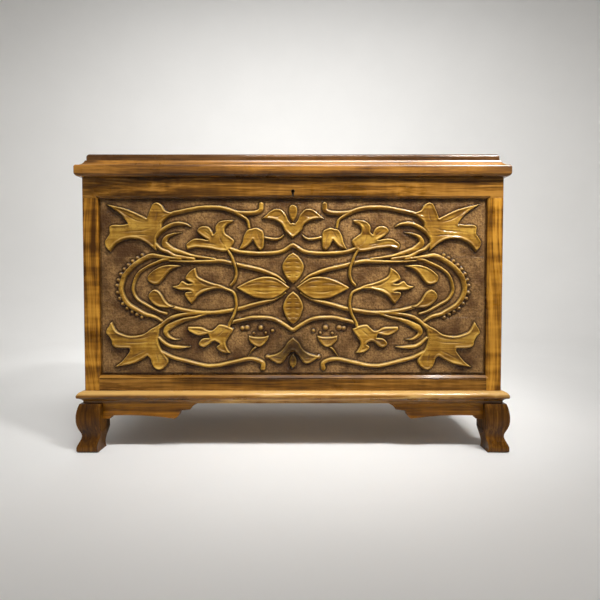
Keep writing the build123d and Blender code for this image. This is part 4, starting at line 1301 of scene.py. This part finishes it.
    def finish(self) -> None:
        """Gouge and punch the ground, and cut it a little deeper beside each motif."""
        across, levels = np.meshgrid(self.across, self.levels)
        uneven = self.gouge * self.marks(across, levels) - self.punches(across, levels)
        beside = self.undercut * np.exp(-((self.outside / self.undercut_width) ** 2))
        bare = smooth_step(1.0 - self.height / self.low)
        self.height += bare * (uneven - beside)
        to_side = self.across[-1] - np.abs(across)
        edge = np.minimum.reduce([levels - self.levels[0], self.levels[-1] - levels, to_side])
        self.height *= smooth_step(edge / self.edge_fade)


@dataclass
class CarvedPanel:
    """The front panel: three edge-glued boards with lilies, tulips and strapwork carved across them.

    Attributes:
        finish: The boards' finish.
        pitch: Distance between the mesh's points.
        ground_setback: Depth of the ground behind the frame's face.
        tongue: Depths of the tongue's front and back behind the frame's face.
        groove_depth: How far the tongue reaches into the frame.
        margin: Width of the sunk margin between the frame and the carved field.
        boards: How many boards there are.
        fringe_pitch: Distance between the beads of the ring's fringe.
        fringe_radius: Their radius.
        fringe_reach: Their distance from the middle of the ring's outer band.
        fringe_ends: How far from the start and the end of that band the fringe stops.
        fringe_steps: Short lines between two points of the band, along which it is measured.
        hollow_reach: How far from a motif the painted shade in its hollow reaches.
        hollow_rise: Height at which that painted shade ends.
        dark_patch_level: Level of the dark patch's middle.
        dark_patch_reach: How far the patch reaches, across and up.
        dark_patch_edge: Power of its fall-off; more ends it more sharply.
    """

    finish: CarvedWood
    pitch: float = 1.25
    ground_setback: float = 9.0
    tongue: tuple[float, float] = (13.0, 19.0)
    groove_depth: float = 7.0
    margin: float = 5.0
    boards: int = 3
    fringe_pitch: float = 12.6
    fringe_radius: float = 5.2
    fringe_reach: float = 9.4
    fringe_ends: tuple[float, float] = (88.0, 40.0)
    fringe_steps: int = 24
    hollow_reach: float = 3.2
    hollow_rise: float = 3.2
    dark_patch_level: float = -151.0
    dark_patch_reach: tuple[float, float] = (43.0, 35.0)
    dark_patch_edge: float = 1.4

    def motifs(self) -> list[Stem | Leaf]:
        """Every motif on the right half, in the order it is carved."""
        return [*self.strapwork(), *self.ring(), *self.tendrils(), *self.middle(), *self.flowers()]

    def strapwork(self) -> list[Stem]:
        """The long bands that frame the middle of the panel.

        Returns:
            The bands, in the order they are carved.
        """
        return [
            # upper strap, below the upper tulip
            Stem([
                (-11, 92), (0, 98), (11, 92), (25, 84), (46, 80), (69, 79), (99, 80), (125, 83),
                (142, 88), (154, 93),
            ]),
            # lower strap, above the lower tulip
            Stem([
                (-15, -91), (0, -100), (15, -91), (36, -79), (53, -73), (76, -71), (99, -72), (116, -76),
                (134, -80), (149, -84),
            ]),
            # upper band, from the middle to the ring
            Stem([
                (18, 10), (36, 25), (53, 32), (76, 40), (100, 46), (123, 51), (147, 57), (170, 61),
                (205, 60), (252, 60), (290, 62),
            ], width=11.0, swell=(0.5, 1.0, 1.0, 1.0, 0.4)),
            # lower band, from the middle to the ring
            Stem([
                (18, -13), (36, -24), (53, -31), (76, -37), (99, -43), (123, -50), (162, -57), (193, -60),
                (239, -57), (277, -48), (305, -37), (325, -27),
            ], width=11.0, swell=(0.5, 1.0, 1.0, 1.0, 0.6)),
        ]

    def outer_ring(self) -> Stem:
        """The outer band of the double ring at the side.

        Returns:
            The band.
        """
        return Stem([
            (262, 66), (290, 69), (311, 72), (330, 74), (346, 68), (358, 61), (370, 53), (384, 40),
            (396, 24), (402, 5), (403, -6), (399, -20), (391, -34), (380, -45), (363, -55), (345, -64),
            (326, -69), (309, -79),
        ], width=12.5, swell=(0.6, 1.0, 1.0, 1.0, 1.0, 0.7))

    def ring(self) -> list[Stem]:
        """The double ring at the side.

        Returns:
            Its outer and its inner band.
        """
        inner = [
            (290, 66), (304, 64), (318, 58), (334, 51), (348, 43), (360, 34), (368, 22), (373, 8),
            (375, -6), (370, -20), (361, -31), (347, -39), (331, -48), (314, -57), (298, -62),
        ]
        return [self.outer_ring(), Stem(inner, width=8.5, height=6.0)]

    def tendrils(self) -> list[Stem]:
        """The running stems and their curls.

        Returns:
            The stems, in the order they are carved.
        """
        curl = (0.12, 0.6, 1.0, 0.76, 0.47, 0.35)
        hook = (0.3, 1.0, 1.0, 0.8)
        return [
            # curl beside the upper lily
            Stem([
                (260, 128), (279, 124), (293, 118), (300, 108), (298, 99), (286, 90), (274, 85),
                (251, 78), (232, 73), (211, 70), (182, 66),
            ], width=17.0, swell=curl),
            # curl beside the lower lily
            Stem([
                (263, -123), (279, -122), (293, -115), (299, -105), (293, -95), (281, -88), (267, -81),
                (251, -75), (232, -71), (209, -64), (193, -59),
            ], width=17.0, swell=curl),
            # stem of the upper lily
            Stem([(324, 104), (310, 90), (293, 83), (274, 73), (251, 69), (232, 66)], width=10.0),
            # stem of the lower lily
            Stem([
                (204, -59), (239, -62), (263, -65), (286, -72), (303, -84), (314, -95), (324, -105),
            ], width=10.0),
            # long stem along the top
            Stem([
                (74, 193), (75, 181), (83, 175), (99, 173), (118, 173), (134, 175), (151, 181),
                (169, 185), (193, 186), (216, 185), (239, 181), (263, 176), (281, 172), (303, 163),
            ], swell=(1.2, 1.0, 1.0, 1.0)),
            # long stem along the bottom
            Stem([
                (71, -191), (71, -179), (83, -172), (97, -169), (113, -170), (134, -175), (153, -179),
                (176, -184), (200, -185), (223, -181), (246, -175), (270, -169), (288, -163), (312, -151),
            ], swell=(1.2, 1.0, 1.0, 1.0)),
            # spur from the top stem
            Stem([(134, 173), (118, 165), (106, 155), (102, 137)], width=9.0, swell=(1.0, 0.8)),
            # hook beside the upper lily
            Stem([(239, 141), (251, 147), (274, 148), (293, 141), (310, 129), (321, 115)], swell=hook),
            # hook beside the lower lily
            Stem([(242, -140), (263, -141), (286, -139), (300, -132), (314, -119)], swell=hook),
            # stalk of the upper inner flower
            Stem([
                (158, 96), (144, 73), (139, 59), (134, 45), (133, 29), (137, 15), (145, 5),
            ], width=8.0, join=Join.OVER),
            # stalk of the lower inner flower
            Stem([
                (162, -2), (148, -7), (139, -13), (135, -23), (133, -37), (134, -48), (139, -65),
                (148, -83), (152, -97),
            ], width=8.0, join=Join.OVER),
            # tendril from the upper bud to the tulip
            Stem([
                (74, 118), (57, 114), (41, 112), (29, 115), (22, 122),
            ], width=7.5, swell=(1.0, 1.0, 0.5)),
            # spur of the lower bowl
            Stem([(83, -137), (95, -147), (106, -163)], width=6.5, swell=(1.0, 0.4)),
        ]

    def middle(self) -> list[Leaf]:
        """The petals and tulips on and beside the panel's middle.

        Returns:
            The petals and tulips, in the order they are carved.
        """
        return [
            # upper petal
            Leaf([
                (0, 80, SHARP), (13, 71), (25, 48), (15, 22), (0, 9, SHARP),
            ], central=True, dish=1.0, veins=[
                [(3, 71), (14, 66)], [(2, 60), (20, 57)], [(2, 49), (22, 48)], [(2, 38), (20, 36)],
                [(3, 27), (14, 26)],
            ]),
            # lower petal
            Leaf([
                (0, -10, SHARP), (14, -23), (23, -46), (14, -74), (0, -87, SHARP),
            ], central=True, dish=1.0, veins=[
                [(3, -24), (12, -26)], [(2, -36), (18, -37)], [(2, -48), (20, -49)],
                [(2, -60), (17, -62)], [(3, -72), (11, -72)],
            ]),
            # long side petal
            Leaf([
                (8, 0, SHARP), (13, 3), (29, 15), (46, 23), (69, 24), (99, 16), (123, 4),
                (132, -1, SHARP), (123, -7), (106, -16), (88, -24), (64, -27), (46, -26), (29, -18),
                (18, -9),
            ], dish=1.2, veins=[
                [(29, 8), (50, 16), (76, 15)], [(60, 8), (88, 9), (116, 2)], [(24, 0), (48, 3), (62, 2)],
                [(41, -10), (69, -12), (104, -6)],
            ]),
            # upper tulip
            Leaf([
                (0, 115, SHARP), (11, 124), (19, 132), (23, 141), (29, 149), (41, 156), (55, 159),
                (72, 160, SHARP), (62, 168), (53, 176), (41, 182), (29, 181), (22, 175), (16, 167),
                (12, 157), (5, 148, SHARP), (0, 150),
            ], central=True, veins=[[(24, 170), (36, 164), (52, 165)], [(6, 142), (12, 152), (20, 164)]]),
            # bud of the upper tulip
            Leaf([
                (0, 192, SHARP), (7, 188), (9.5, 180), (8.5, 170), (5, 160), (0, 153, SHARP),
            ], central=True, dish=0.8),
            # lower tulip
            Leaf([
                (0, -119, SHARP), (13, -130), (20, -142), (29, -151), (43, -158), (62, -162, SHARP),
                (50, -172), (36, -179), (25, -177), (18, -168), (11, -158), (2, -149, SHARP), (0, -151),
            ], central=True, height=6.2, veins=[[(22, -168), (34, -166), (50, -164)]]),
            # bud of the lower tulip
            Leaf([
                (0, -156, SHARP), (6, -165), (8, -175), (6, -184), (0, -191, SHARP),
            ], central=True, height=5.6, dish=0.8),
        ]

    def flowers(self) -> list[Leaf]:
        """The corner lilies, the inner flowers, the buds and the bowl of berries.

        Returns:
            The flowers, in the order they are carved.
        """
        return [
            # bud in the ring's upper half
            Leaf([
                (262, 50, SHARP), (282, 52), (298, 51), (312, 47), (326, 39), (337, 29), (340, 22),
                (336, 12), (324, 7), (313, 9), (303, 20), (293, 33), (281, 43),
            ]),
            # bud in the ring's lower half
            Leaf([
                (279, -46, SHARP), (298, -48), (314, -46), (326, -39), (335, -29), (338, -19), (333, -11),
                (324, -6), (314, -10), (307, -19), (300, -31), (291, -40),
            ]),
            # upper corner lily
            Leaf([
                (279, 172, SHARP), (297, 178), (306, 191), (317, 197), (326, 193), (331, 183), (335, 174),
                (340, 160, SHARP), (356, 168), (373, 176), (389, 182), (408, 187), (434, 193, SHARP),
                (419, 183), (405, 173), (394, 162), (384, 147, SHARP), (401, 145), (419, 145), (427, 141),
                (427, 132), (427, 124), (433, 115), (438, 106), (436, 94), (427, 83, SHARP), (417, 97),
                (405, 106), (391, 112), (373, 114), (356, 111), (342, 104), (331, 95), (319, 85, SHARP),
                (319, 115), (314, 127), (307, 138), (305, 150), (293, 162),
            ], join=Join.INTO, veins=[
                [(325, 140), (350, 132), (380, 130), (405, 128)], [(340, 150), (370, 158), (400, 176)],
                [(330, 118), (352, 122), (380, 121)], [(316, 178), (318, 164), (322, 152)],
            ]),
            # lower corner lily
            Leaf([
                (310, -84, SHARP), (321, -92), (333, -98), (345, -107), (356, -112), (380, -115),
                (401, -110), (415, -102), (426, -81, SHARP), (432, -92), (436, -98), (438, -107),
                (430, -117), (425, -127), (424, -135), (415, -142), (384, -143, SHARP), (384, -151),
                (394, -165), (405, -177), (420, -188, SHARP), (391, -183), (373, -178), (356, -170),
                (342, -161, SHARP), (335, -168), (332, -178), (326, -189), (317, -194), (307, -192),
                (298, -184), (293, -172), (303, -156), (312, -142), (317, -123), (314, -102),
            ], join=Join.INTO, veins=[
                [(330, -125), (356, -130), (384, -130), (412, -128)],
                [(340, -146), (366, -158), (396, -174)], [(330, -112), (352, -119), (380, -122)],
                [(316, -180), (318, -166), (322, -152)],
            ]),
            # upper inner flower
            Leaf([
                (140, 156, SHARP), (153, 156), (167, 154), (176, 148), (181, 139), (180, 129),
                (186, 122, SHARP), (190, 132), (197, 140), (209, 142), (218, 139), (223, 131), (217, 123),
                (209, 117), (197, 110, SHARP), (206, 111), (218, 113), (232, 112), (242, 106), (249, 99),
                (246, 88, SHARP), (228, 93), (214, 92), (195, 90), (176, 86), (162, 84), (151, 86),
                (143, 96), (138, 108), (147, 117), (158, 125), (160, 136), (153, 146), (144, 150),
            ], join=Join.INTO, veins=[
                [(158, 96), (168, 108), (172, 122)], [(172, 96), (190, 101), (212, 103)],
                [(160, 148), (168, 140), (170, 130)], [(190, 118), (200, 127), (209, 133)],
            ]),
            # lower inner flower
            Leaf([
                (140, -98, SHARP), (155, -91), (172, -88), (181, -95), (190, -102), (200, -101),
                (214, -94), (230, -93), (246, -93, SHARP), (246, -100), (237, -107), (223, -113),
                (211, -112), (199, -109, SHARP), (196, -119, SHARP), (209, -120), (218, -126),
                (221, -135), (211, -141), (200, -137), (190, -128), (183, -126, SHARP), (172, -133),
                (179, -140), (176, -147), (165, -153), (147, -155, SHARP), (153, -147), (158, -137),
                (158, -128), (151, -116), (144, -107),
            ], join=Join.INTO, veins=[
                [(158, -98), (170, -108), (180, -116)], [(196, -106), (214, -102), (234, -99)],
                [(192, -122), (202, -127), (210, -132)],
            ]),
            # upper bud beside the tulip
            Leaf([
                (72, 132, SHARP), (85, 138), (97, 136), (106, 133), (113, 122), (116, 113), (118, 104),
                (126, 88, SHARP), (113, 92), (103, 99), (93, 111, SHARP), (88, 101), (83, 92), (76, 87),
                (70, 92), (68, 104), (68, 115), (69, 125),
            ], veins=[[(84, 128), (78, 112), (76, 98)], [(94, 128), (104, 112)]]),
            # flower on the level of the middle
            Leaf([
                (149, -8, SHARP), (157, -1), (170, 5), (187, 9), (208, 17), (223, 26), (229, 45, SHARP),
                (240, 38), (249, 27), (250, 18), (234, 9, SHARP), (246, 8), (259, 14), (268, 5),
                (283, 1, SHARP), (266, -6), (246, -7), (236, -10, SHARP), (252, -13), (250, -24),
                (238, -39, SHARP), (230, -30), (222, -20), (205, -10), (182, -4), (163, -4),
            ], join=Join.INTO, veins=[
                [(186, 2), (208, 7), (228, 22)], [(190, -1), (212, -4), (232, -18)],
            ]),
            # lower bowl that holds the berries
            Leaf([
                (57, -114, SHARP), (71, -117), (90, -117), (104, -114, SHARP), (102, -126), (90, -137),
                (78, -140), (67, -133), (60, -123),
            ], height=6.2),
        ]

    def beads(self) -> list[tuple[tuple[float, float], float]]:
        """Berries, loose beads and the ring's fringe of beads.

        Returns:
            Middle and radius of each.
        """
        beads = [
            ((76, -95), 7.0), ((108, -95), 7.0), ((119, -96), 6.0), ((64, -107), 4.0), ((92, -108), 4.0),
            ((48, -102), 5.0), ((60, -164), 6.0), ((74, 193), 6.0),
        ]
        line = curve_through(np.array(self.outer_ring().path, float), self.fringe_steps)
        along = np.concatenate([[0.0], np.cumsum(np.hypot(*np.diff(line, axis=0).T))])
        first, last = self.fringe_ends[0], along[-1] - self.fringe_ends[1]
        for place in np.arange(first, last, self.fringe_pitch):
            here, ahead = (
                np.array([np.interp(spot, along, line[:, axis]) for axis in (0, 1)])
                for spot in (place, place + 1.0)
            )
            run = (ahead - here) / np.hypot(*(ahead - here))
            middle = here + self.fringe_reach * np.array([-run[1], run[0]])
            beads.append((tuple(middle), self.fringe_radius))
        return beads

    def build(self, dresser: Dresser) -> None:
        """Carve the right half, mirror it, and make one piece of each board.

        Args:
            dresser: Gives the boards their finish.
        """
        boxes = [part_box(f"carved_panel_board_{number + 1}") for number in range(self.boards)]
        lowest = min(low.z for low, _ in boxes) / MM
        highest = max(high.z for _, high in boxes) / MM
        middle = 0.5 * (lowest + highest)
        inset = self.groove_depth + self.margin
        field_side = boxes[0][1].x / MM - inset
        field_top = (highest - lowest) / 2 - inset
        joints = [high.z / MM - middle for _, high in boxes[:-1]]
        edges = [-field_top, *joints, field_top]
        rows = [
            np.linspace(low, high, round((high - low) / self.pitch) + 1)
            for low, high in zip(edges, edges[1:])
        ]
        across = np.linspace(0.0, field_side, round(field_side / self.pitch) + 1)
        relief = ReliefField(across, np.unique(np.concatenate(rows)))
        for motif in self.motifs():
            relief.carve(motif)
        for spot, radius in self.beads():
            relief.bead(spot, radius)
        relief.mirror()
        relief.finish()
        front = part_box("front_top_rail")[0].y / MM
        start = 0
        for number, board_rows in enumerate(rows):
            stop = start + len(board_rows)
            piece = self.board(number + 1, relief, slice(start, stop), middle, front, boxes[number])
            dresser.dress(piece, self.finish, Grain.ALONG_FRONT)
            start = stop - 1

    def board(
        self,
        number: int,
        relief: ReliefField,
        rows: slice,
        middle: float,
        front: float,
        box: tuple[Vector, Vector],
    ) -> bpy.types.Object:
        """Make one carved board as a closed mesh.

        Args:
            number: The board's number, from the bottom.
            relief: The carved field.
            rows: The board's rows in the field.
            middle: Level of the panel's middle.
            front: Y of the frame's face.
            box: The board's lowest and highest corners.

        Returns:
            The piece.
        """
        heights, across, levels = relief.height[rows], relief.across, relief.levels[rows]
        x, z = np.meshgrid(across, levels + middle)
        ground = front + self.ground_setback
        face = np.column_stack([x.ravel(), (ground - heights).ravel(), z.ravel()])
        left, right, low, high = across[0], across[-1], levels[0] + middle, levels[-1] + middle
        back = box[1].y / MM
        rear = [(left, back, low), (right, back, low), (right, back, high), (left, back, high)]
        grid = np.arange(heights.size).reshape(heights.shape)
        quads = np.stack([grid[:-1, :-1], grid[:-1, 1:], grid[1:, 1:], grid[1:, :-1]], axis=-1)
        quads = quads.reshape(-1, 4)
        base = len(face)
        sides = [
            [*grid[0, ::-1], base, base + 1],
            [*grid[:, -1][::-1], base + 1, base + 2],
            [*grid[-1, :], base + 2, base + 3],
            [*grid[:, 0], base + 3, base],
            [base + 1, base, base + 3, base + 2],
        ]
        tongue, tongue_faces = self.tongue_block(front, box, base + len(rear))
        points = np.vstack([face, rear, tongue]) * MM
        mesh = bpy.data.meshes.new(f"carved_board_{number}")
        mesh.from_pydata(points.tolist(), [], [*quads.tolist(), *sides, *tongue_faces])
        smooth = np.zeros(len(mesh.polygons), bool)
        smooth[: len(quads)] = True
        mesh.polygons.foreach_set("use_smooth", smooth)
        # Painted shade beside each motif, on the ground only.
        hollow = np.exp(-((relief.outside[rows] / self.hollow_reach) ** 2))
        self.keep(mesh, "relief", heights / RELIEF_TOP)
        self.keep(mesh, "hollow", hollow * smooth_step(1.0 - heights / self.hollow_rise))
        self.keep(mesh, "crest", relief.crest[rows])
        self.keep(mesh, "dark_patch", self.dark_patch_strength(x, z - middle))
        mesh.update()
        piece = bpy.data.objects.new(f"carved_board_{number}", mesh)
        bpy.context.scene.collection.objects.link(piece)
        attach(piece, "carcass")
        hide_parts(f"carved_panel_board_{number}")
        return piece

    def dark_patch_strength(self, across: np.ndarray, levels: np.ndarray) -> np.ndarray:
        """How strong the dark patch is, from 0 far off to 1 in its middle.

        Args:
            across: Place of each point across the panel.
            levels: Place of each point up the panel.

        Returns:
            The strength at each point.
        """
        aside = (across / self.dark_patch_reach[0]) ** 2
        off_level = ((levels - self.dark_patch_level) / self.dark_patch_reach[1]) ** 2
        return np.exp(-((aside + off_level) ** self.dark_patch_edge))

    def tongue_block(
        self, front: float, box: tuple[Vector, Vector], first: int
    ) -> tuple[list[Place], list[list[int]]]:
        """Corners and faces of a board's tongue.

        Args:
            front: Y of the frame's face.
            box: The board's lowest and highest corners.
            first: Number of the tongue's first corner.

        Returns:
            The corners and the faces.
        """
        low, high = box[0] / MM, box[1] / MM
        near, far = front + self.tongue[0], front + self.tongue[1]
        ends = [(x, y, z) for z in (low.z, high.z) for y in (near, far) for x in (low.x, high.x)]
        faces = [(0, 2, 3, 1), (4, 5, 7, 6), (0, 1, 5, 4), (2, 6, 7, 3), (0, 4, 6, 2), (1, 3, 7, 5)]
        return ends, [[first + index for index in face] for face in faces]

    def keep(self, mesh: bpy.types.Mesh, name: str, values: np.ndarray) -> None:
        """Keep a number for each point of the carved face.

        Args:
            mesh: The board's mesh.
            name: The number's name.
            values: The numbers of the face's grid.
        """
        whole = np.zeros(len(mesh.vertices), np.float32)
        whole[: values.size] = values.ravel()
        mesh.attributes.new(name, "FLOAT", "POINT").data.foreach_set("value", whole)


# ------------------------------------------------------------------------------------ sub-assemblies
@dataclass
class FrontFrame:
    """The rails and stiles round the panel, and the keyhole's brass rim."""

    rails: Wood
    stiles: Wood
    rim: Metal

    def build(self, dresser: Dresser) -> None:
        """Dress the frame.

        Args:
            dresser: Gives the solids their finish.
        """
        dresser.solids(["front_top_rail", "front_bottom_rail"], self.rails, Grain.ALONG_FRONT)
        dresser.solids(["front_left_stile", "front_right_stile"], self.stiles, Grain.UPRIGHT)
        dresser.solids(["keyhole_escutcheon"], self.rim, Grain.ALONG_FRONT)


@dataclass
class Carcass:
    """The ends, the back and the bottom with its bearers."""

    ends: Wood
    inner: Wood

    def build(self, dresser: Dresser) -> None:
        """Dress the carcass.

        Args:
            dresser: Gives the solids their finish.
        """
        sides, levels, numbers = ("left", "right"), ("lower", "upper"), (1, 2, 3)
        ends = [f"{side}_end_{level}_board" for side in sides for level in levels]
        bearers = [f"bottom_bearer_{end}" for end in ("front", "back")]
        side_bearers = [f"bottom_bearer_{side}" for side in sides]
        dresser.solids(ends, self.ends, Grain.FRONT_TO_BACK)
        dresser.solids([f"back_board_{n}" for n in numbers], self.inner, Grain.ALONG_FRONT)
        dresser.solids([f"bottom_board_{n}" for n in numbers], self.inner, Grain.FRONT_TO_BACK)
        dresser.solids(bearers, self.inner, Grain.ALONG_FRONT)
        dresser.solids(side_bearers, self.inner, Grain.FRONT_TO_BACK)


@dataclass
class Stand:
    """The moulded plinth, the ogee feet and the scrolled wings between them."""

    moulding: Wood
    feet: Wood
    wings: Wood
    inner: Wood

    def build(self, dresser: Dresser) -> None:
        """Dress the stand.

        Args:
            dresser: Gives the solids their finish.
        """
        ends, sides = ("front", "back"), ("left", "right")
        dresser.solids(["plinth_front"], self.moulding, Grain.ALONG_FRONT)
        dresser.solids([f"plinth_{side}" for side in sides], self.moulding, Grain.FRONT_TO_BACK)
        dresser.solids(["plinth_back"], self.inner, Grain.ALONG_FRONT)
        feet = [f"foot_{end}_{side}" for end in ends for side in sides]
        dresser.solids(feet, self.feet, Grain.UPRIGHT)
        dresser.solids(["foot_dowels"], self.inner, Grain.UPRIGHT)
        dresser.solids([f"wing_front_{side}" for side in sides], self.wings, Grain.ALONG_FRONT)
        side_wings = [f"wing_{side}_{end}" for side in sides for end in ends]
        dresser.solids(side_wings, self.wings, Grain.FRONT_TO_BACK)


@dataclass
class Lid:
    """The moulded lid: mitred rails, a raised top of two boards and its battens."""

    moulding: Wood
    top: Wood
    inner: Wood

    def build(self, dresser: Dresser) -> None:
        """Dress the lid.

        Args:
            dresser: Gives the solids their finish.
        """
        ends, sides = ("front", "back"), ("left", "right")
        dresser.solids([f"lid_{end}_rail" for end in ends], self.moulding, Grain.ALONG_FRONT)
        dresser.solids([f"lid_{side}_rail" for side in sides], self.moulding, Grain.FRONT_TO_BACK)
        dresser.solids([f"lid_top_{end}_board" for end in ends], self.top, Grain.ALONG_FRONT)
        dresser.solids([f"lid_{side}_batten" for side in sides], self.inner, Grain.FRONT_TO_BACK)


@dataclass
class Ironmongery:
    """The hinges, the lock and their screws."""

    brass: Metal
    lock_brass: Metal
    lock_steel: Metal
    screws: Metal

    def build(self, dresser: Dresser) -> None:
        """Dress the hinges and the lock.

        Args:
            dresser: Gives the solids their finish.
        """
        leaves = [
            f"{side}_hinge_{part}_leaf" for side in ("left", "right") for part in ("carcass", "lid")
        ]
        screws = ["hinge_carcass_screws", "hinge_lid_screws", "lock_screws", "link_plate_screws"]
        dresser.solids([*leaves, "hinge_pins", "link_plate"], self.brass, Grain.ALONG_FRONT)
        dresser.solids(["lock_case"], self.lock_brass, Grain.ALONG_FRONT)
        dresser.solids(["lock_cover_plate", "lock_bolt"], self.lock_steel, Grain.ALONG_FRONT)
        dresser.solids([*screws, "lock_bolt_spring"], self.screws, Grain.UPRIGHT)


# ------------------------------------------------------------------------------------------- studio
@dataclass(frozen=True)
class Lamp:
    """A soft rectangular lamp.

    Attributes:
        name: The lamp's name.
        place: Where it hangs.
        aim: The place it is turned to.
        size: Its width and depth.
        power: Its power in watts.
        spread: The angle of its beam in degrees.
    """

    name: str
    place: Place
    aim: Place
    size: tuple[float, float]
    power: float
    spread: float = 180.0

    def build(self) -> None:
        """Hang the lamp."""
        light = bpy.data.lights.new(self.name, "AREA")
        light.shape = "RECTANGLE"
        light.size, light.size_y = self.size
        light.energy = self.power
        light.spread = math.radians(self.spread)
        lamp = bpy.data.objects.new(self.name, light)
        lamp.location = self.place
        direction = Vector(self.aim) - Vector(self.place)
        lamp.rotation_euler = direction.to_track_quat("-Z", "Y").to_euler()
        bpy.context.scene.collection.objects.link(lamp)


LAMPS = (
    Lamp("front_lamp", (0.2, -1.3, 2.4), (0.08, 0.0, 0.6), (1.1, 0.18), 6.5, 60.0),
    Lamp("right_key_lamp", (1.0, -1.1, 1.9), (0.18, 0.0, 0.62), (0.4, 0.2), 4.6, 50.0),
    Lamp("overhead_lamp", (0.4, 0.4, 2.6), (0.2, 0.1, 0.3), (2.0, 0.8), 7.5),
    Lamp("back_lamp", (-0.8, 2.0, 1.9), (0.0, 0.2, 0.4), (1.4, 1.4), 6.0),
    Lamp("wall_lamp", (0.0, 0.7, 2.9), (0.0, 3.3, 0.7), (1.8, 1.8), 38.0, 120.0),
)


@dataclass
class Studio:
    """A plain pale room without corners, its lamps and the camera.

    Attributes:
        middle_radius: Radius of the first ring of faces round the floor's middle.
        floor_radius: Where the floor starts to curve up.
        wall_radius: Distance of the wall from the middle.
        wall_height: Height of the wall.
        turn_steps: Faces in a turn of the room.
        curve_steps: Faces up the curve between the floor and the wall.
        paint: Colour of the room.
        paint_shade: Lightness of the paint's darker patches, as a share of its own.
        paint_rough: Roughness of the paint.
        camera_place: Where the camera stands.
        camera_pitch: How far it looks up, in degrees.
        camera_lens: Its focal length in millimetres.
        camera_reach: How far it sees.
        sky: Strength of the white sky.
        lamps: The lamps.
    """

    middle_radius: float = 0.6
    floor_radius: float = 2.3
    wall_radius: float = 3.4
    wall_height: float = 4.2
    turn_steps: int = 64
    curve_steps: int = 12
    paint: Colour = (0.86, 0.85, 0.83)
    paint_shade: float = 0.985
    paint_rough: float = 0.9
    camera_place: Place = (0.0165, -1.2747, 0.3875)
    camera_pitch: float = -1.78
    camera_lens: float = 27.0
    camera_reach: float = 50.0
    sky: float = 0.24
    lamps: tuple[Lamp, ...] = LAMPS

    def section(self) -> list[tuple[float, float]]:
        """The room's section, from near the middle of the floor up the wall.

        Returns:
            Radius and level of each point.
        """
        bend = self.wall_radius - self.floor_radius
        turn = [math.pi / 2 * step / self.curve_steps for step in range(self.curve_steps + 1)]
        curve = [(self.floor_radius + bend * math.sin(a), bend * (1 - math.cos(a))) for a in turn]
        return [(self.middle_radius, 0.0), *curve, (self.wall_radius, self.wall_height)]

    def painted(self) -> bpy.types.Material:
        """Lay the room's paint.

        Returns:
            The material.
        """
        graph = Graph("studio_paint")
        place = graph.add("ShaderNodeTexCoord").outputs["Object"]
        darker = tuple(self.paint_shade * part for part in self.paint)
        colour = graph.mix(graph.clouds(place, PAINT_PATCHES), self.paint, darker)
        graph.feed(graph.shader.inputs["Base Color"], colour)
        graph.shader.inputs["Roughness"].default_value = self.paint_rough
        return graph.material

    def room(self) -> bpy.types.Object:
        """Make the floor and wall as one turned surface.

        Returns:
            The room.
        """
        section = self.section()
        points = [(0.0, 0.0, 0.0)]
        for step in range(self.turn_steps):
            angle = 2 * math.pi * step / self.turn_steps
            points += [(r * math.cos(angle), r * math.sin(angle), z) for r, z in section]
        rows = len(section)
        faces: list[tuple[int, ...]] = []
        for step in range(self.turn_steps):
            this, after = 1 + step * rows, 1 + (step + 1) % self.turn_steps * rows
            faces.append((0, this, after))
            faces += [(this + k, this + k + 1, after + k + 1, after + k) for k in range(rows - 1)]
        mesh = bpy.data.meshes.new("studio_floor")
        mesh.from_pydata(points, [], faces)
        mesh.polygons.foreach_set("use_smooth", [True] * len(mesh.polygons))
        mesh.materials.append(self.painted())
        room = bpy.data.objects.new("studio_floor", mesh)
        bpy.context.scene.collection.objects.link(room)
        return room

    def camera(self) -> None:
        """Set up the camera in front of the chest."""
        lens = bpy.data.cameras.new("front_camera")
        lens.lens = self.camera_lens
        lens.clip_end = self.camera_reach
        camera = bpy.data.objects.new("front_camera", lens)
        camera.location = self.camera_place
        camera.rotation_euler = (math.radians(90.0 + self.camera_pitch), 0.0, 0.0)
        bpy.context.scene.collection.objects.link(camera)
        bpy.context.scene.camera = camera

    def build(self) -> None:
        """Make the room, the lamps, the sky and the camera."""
        self.room()
        for lamp in self.lamps:
            lamp.build()
        world = bpy.data.worlds.new("studio_sky")
        world.use_nodes = True
        light = world.node_tree.nodes["Background"].inputs
        light["Color"].default_value = (1.0, 1.0, 1.0, 1.0)
        light["Strength"].default_value = self.sky
        bpy.context.scene.world = world
        self.camera()
        bpy.context.scene.view_settings.view_transform = "Standard"


def main() -> None:
    """Build the chest's looks from its sub-assemblies, in order."""
    logging.basicConfig(level=logging.INFO, format="%(name)s %(message)s")
    for leftover in list(bpy.data.objects):
        bpy.data.objects.remove(leftover)
    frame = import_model()
    dresser = Dresser(frame)
    Studio().build()
    FrontFrame(RAIL_WALNUT, STILE_WALNUT, DARK_BRASS).build(dresser)
    CarvedPanel(CARVED_WALNUT).build(dresser)
    Carcass(END_WALNUT, AGED_DEAL).build(dresser)
    Stand(PLINTH_WALNUT, FOOT_WALNUT, WING_WALNUT, AGED_DEAL).build(dresser)
    Lid(LID_MOULDING_WALNUT, LID_TOP_WALNUT, AGED_DEAL).build(dresser)
    Ironmongery(OLD_BRASS, LOCK_BRASS, LOCK_STEEL, SCREW_STEEL).build(dresser)


if __name__ == "__main__":
    main()
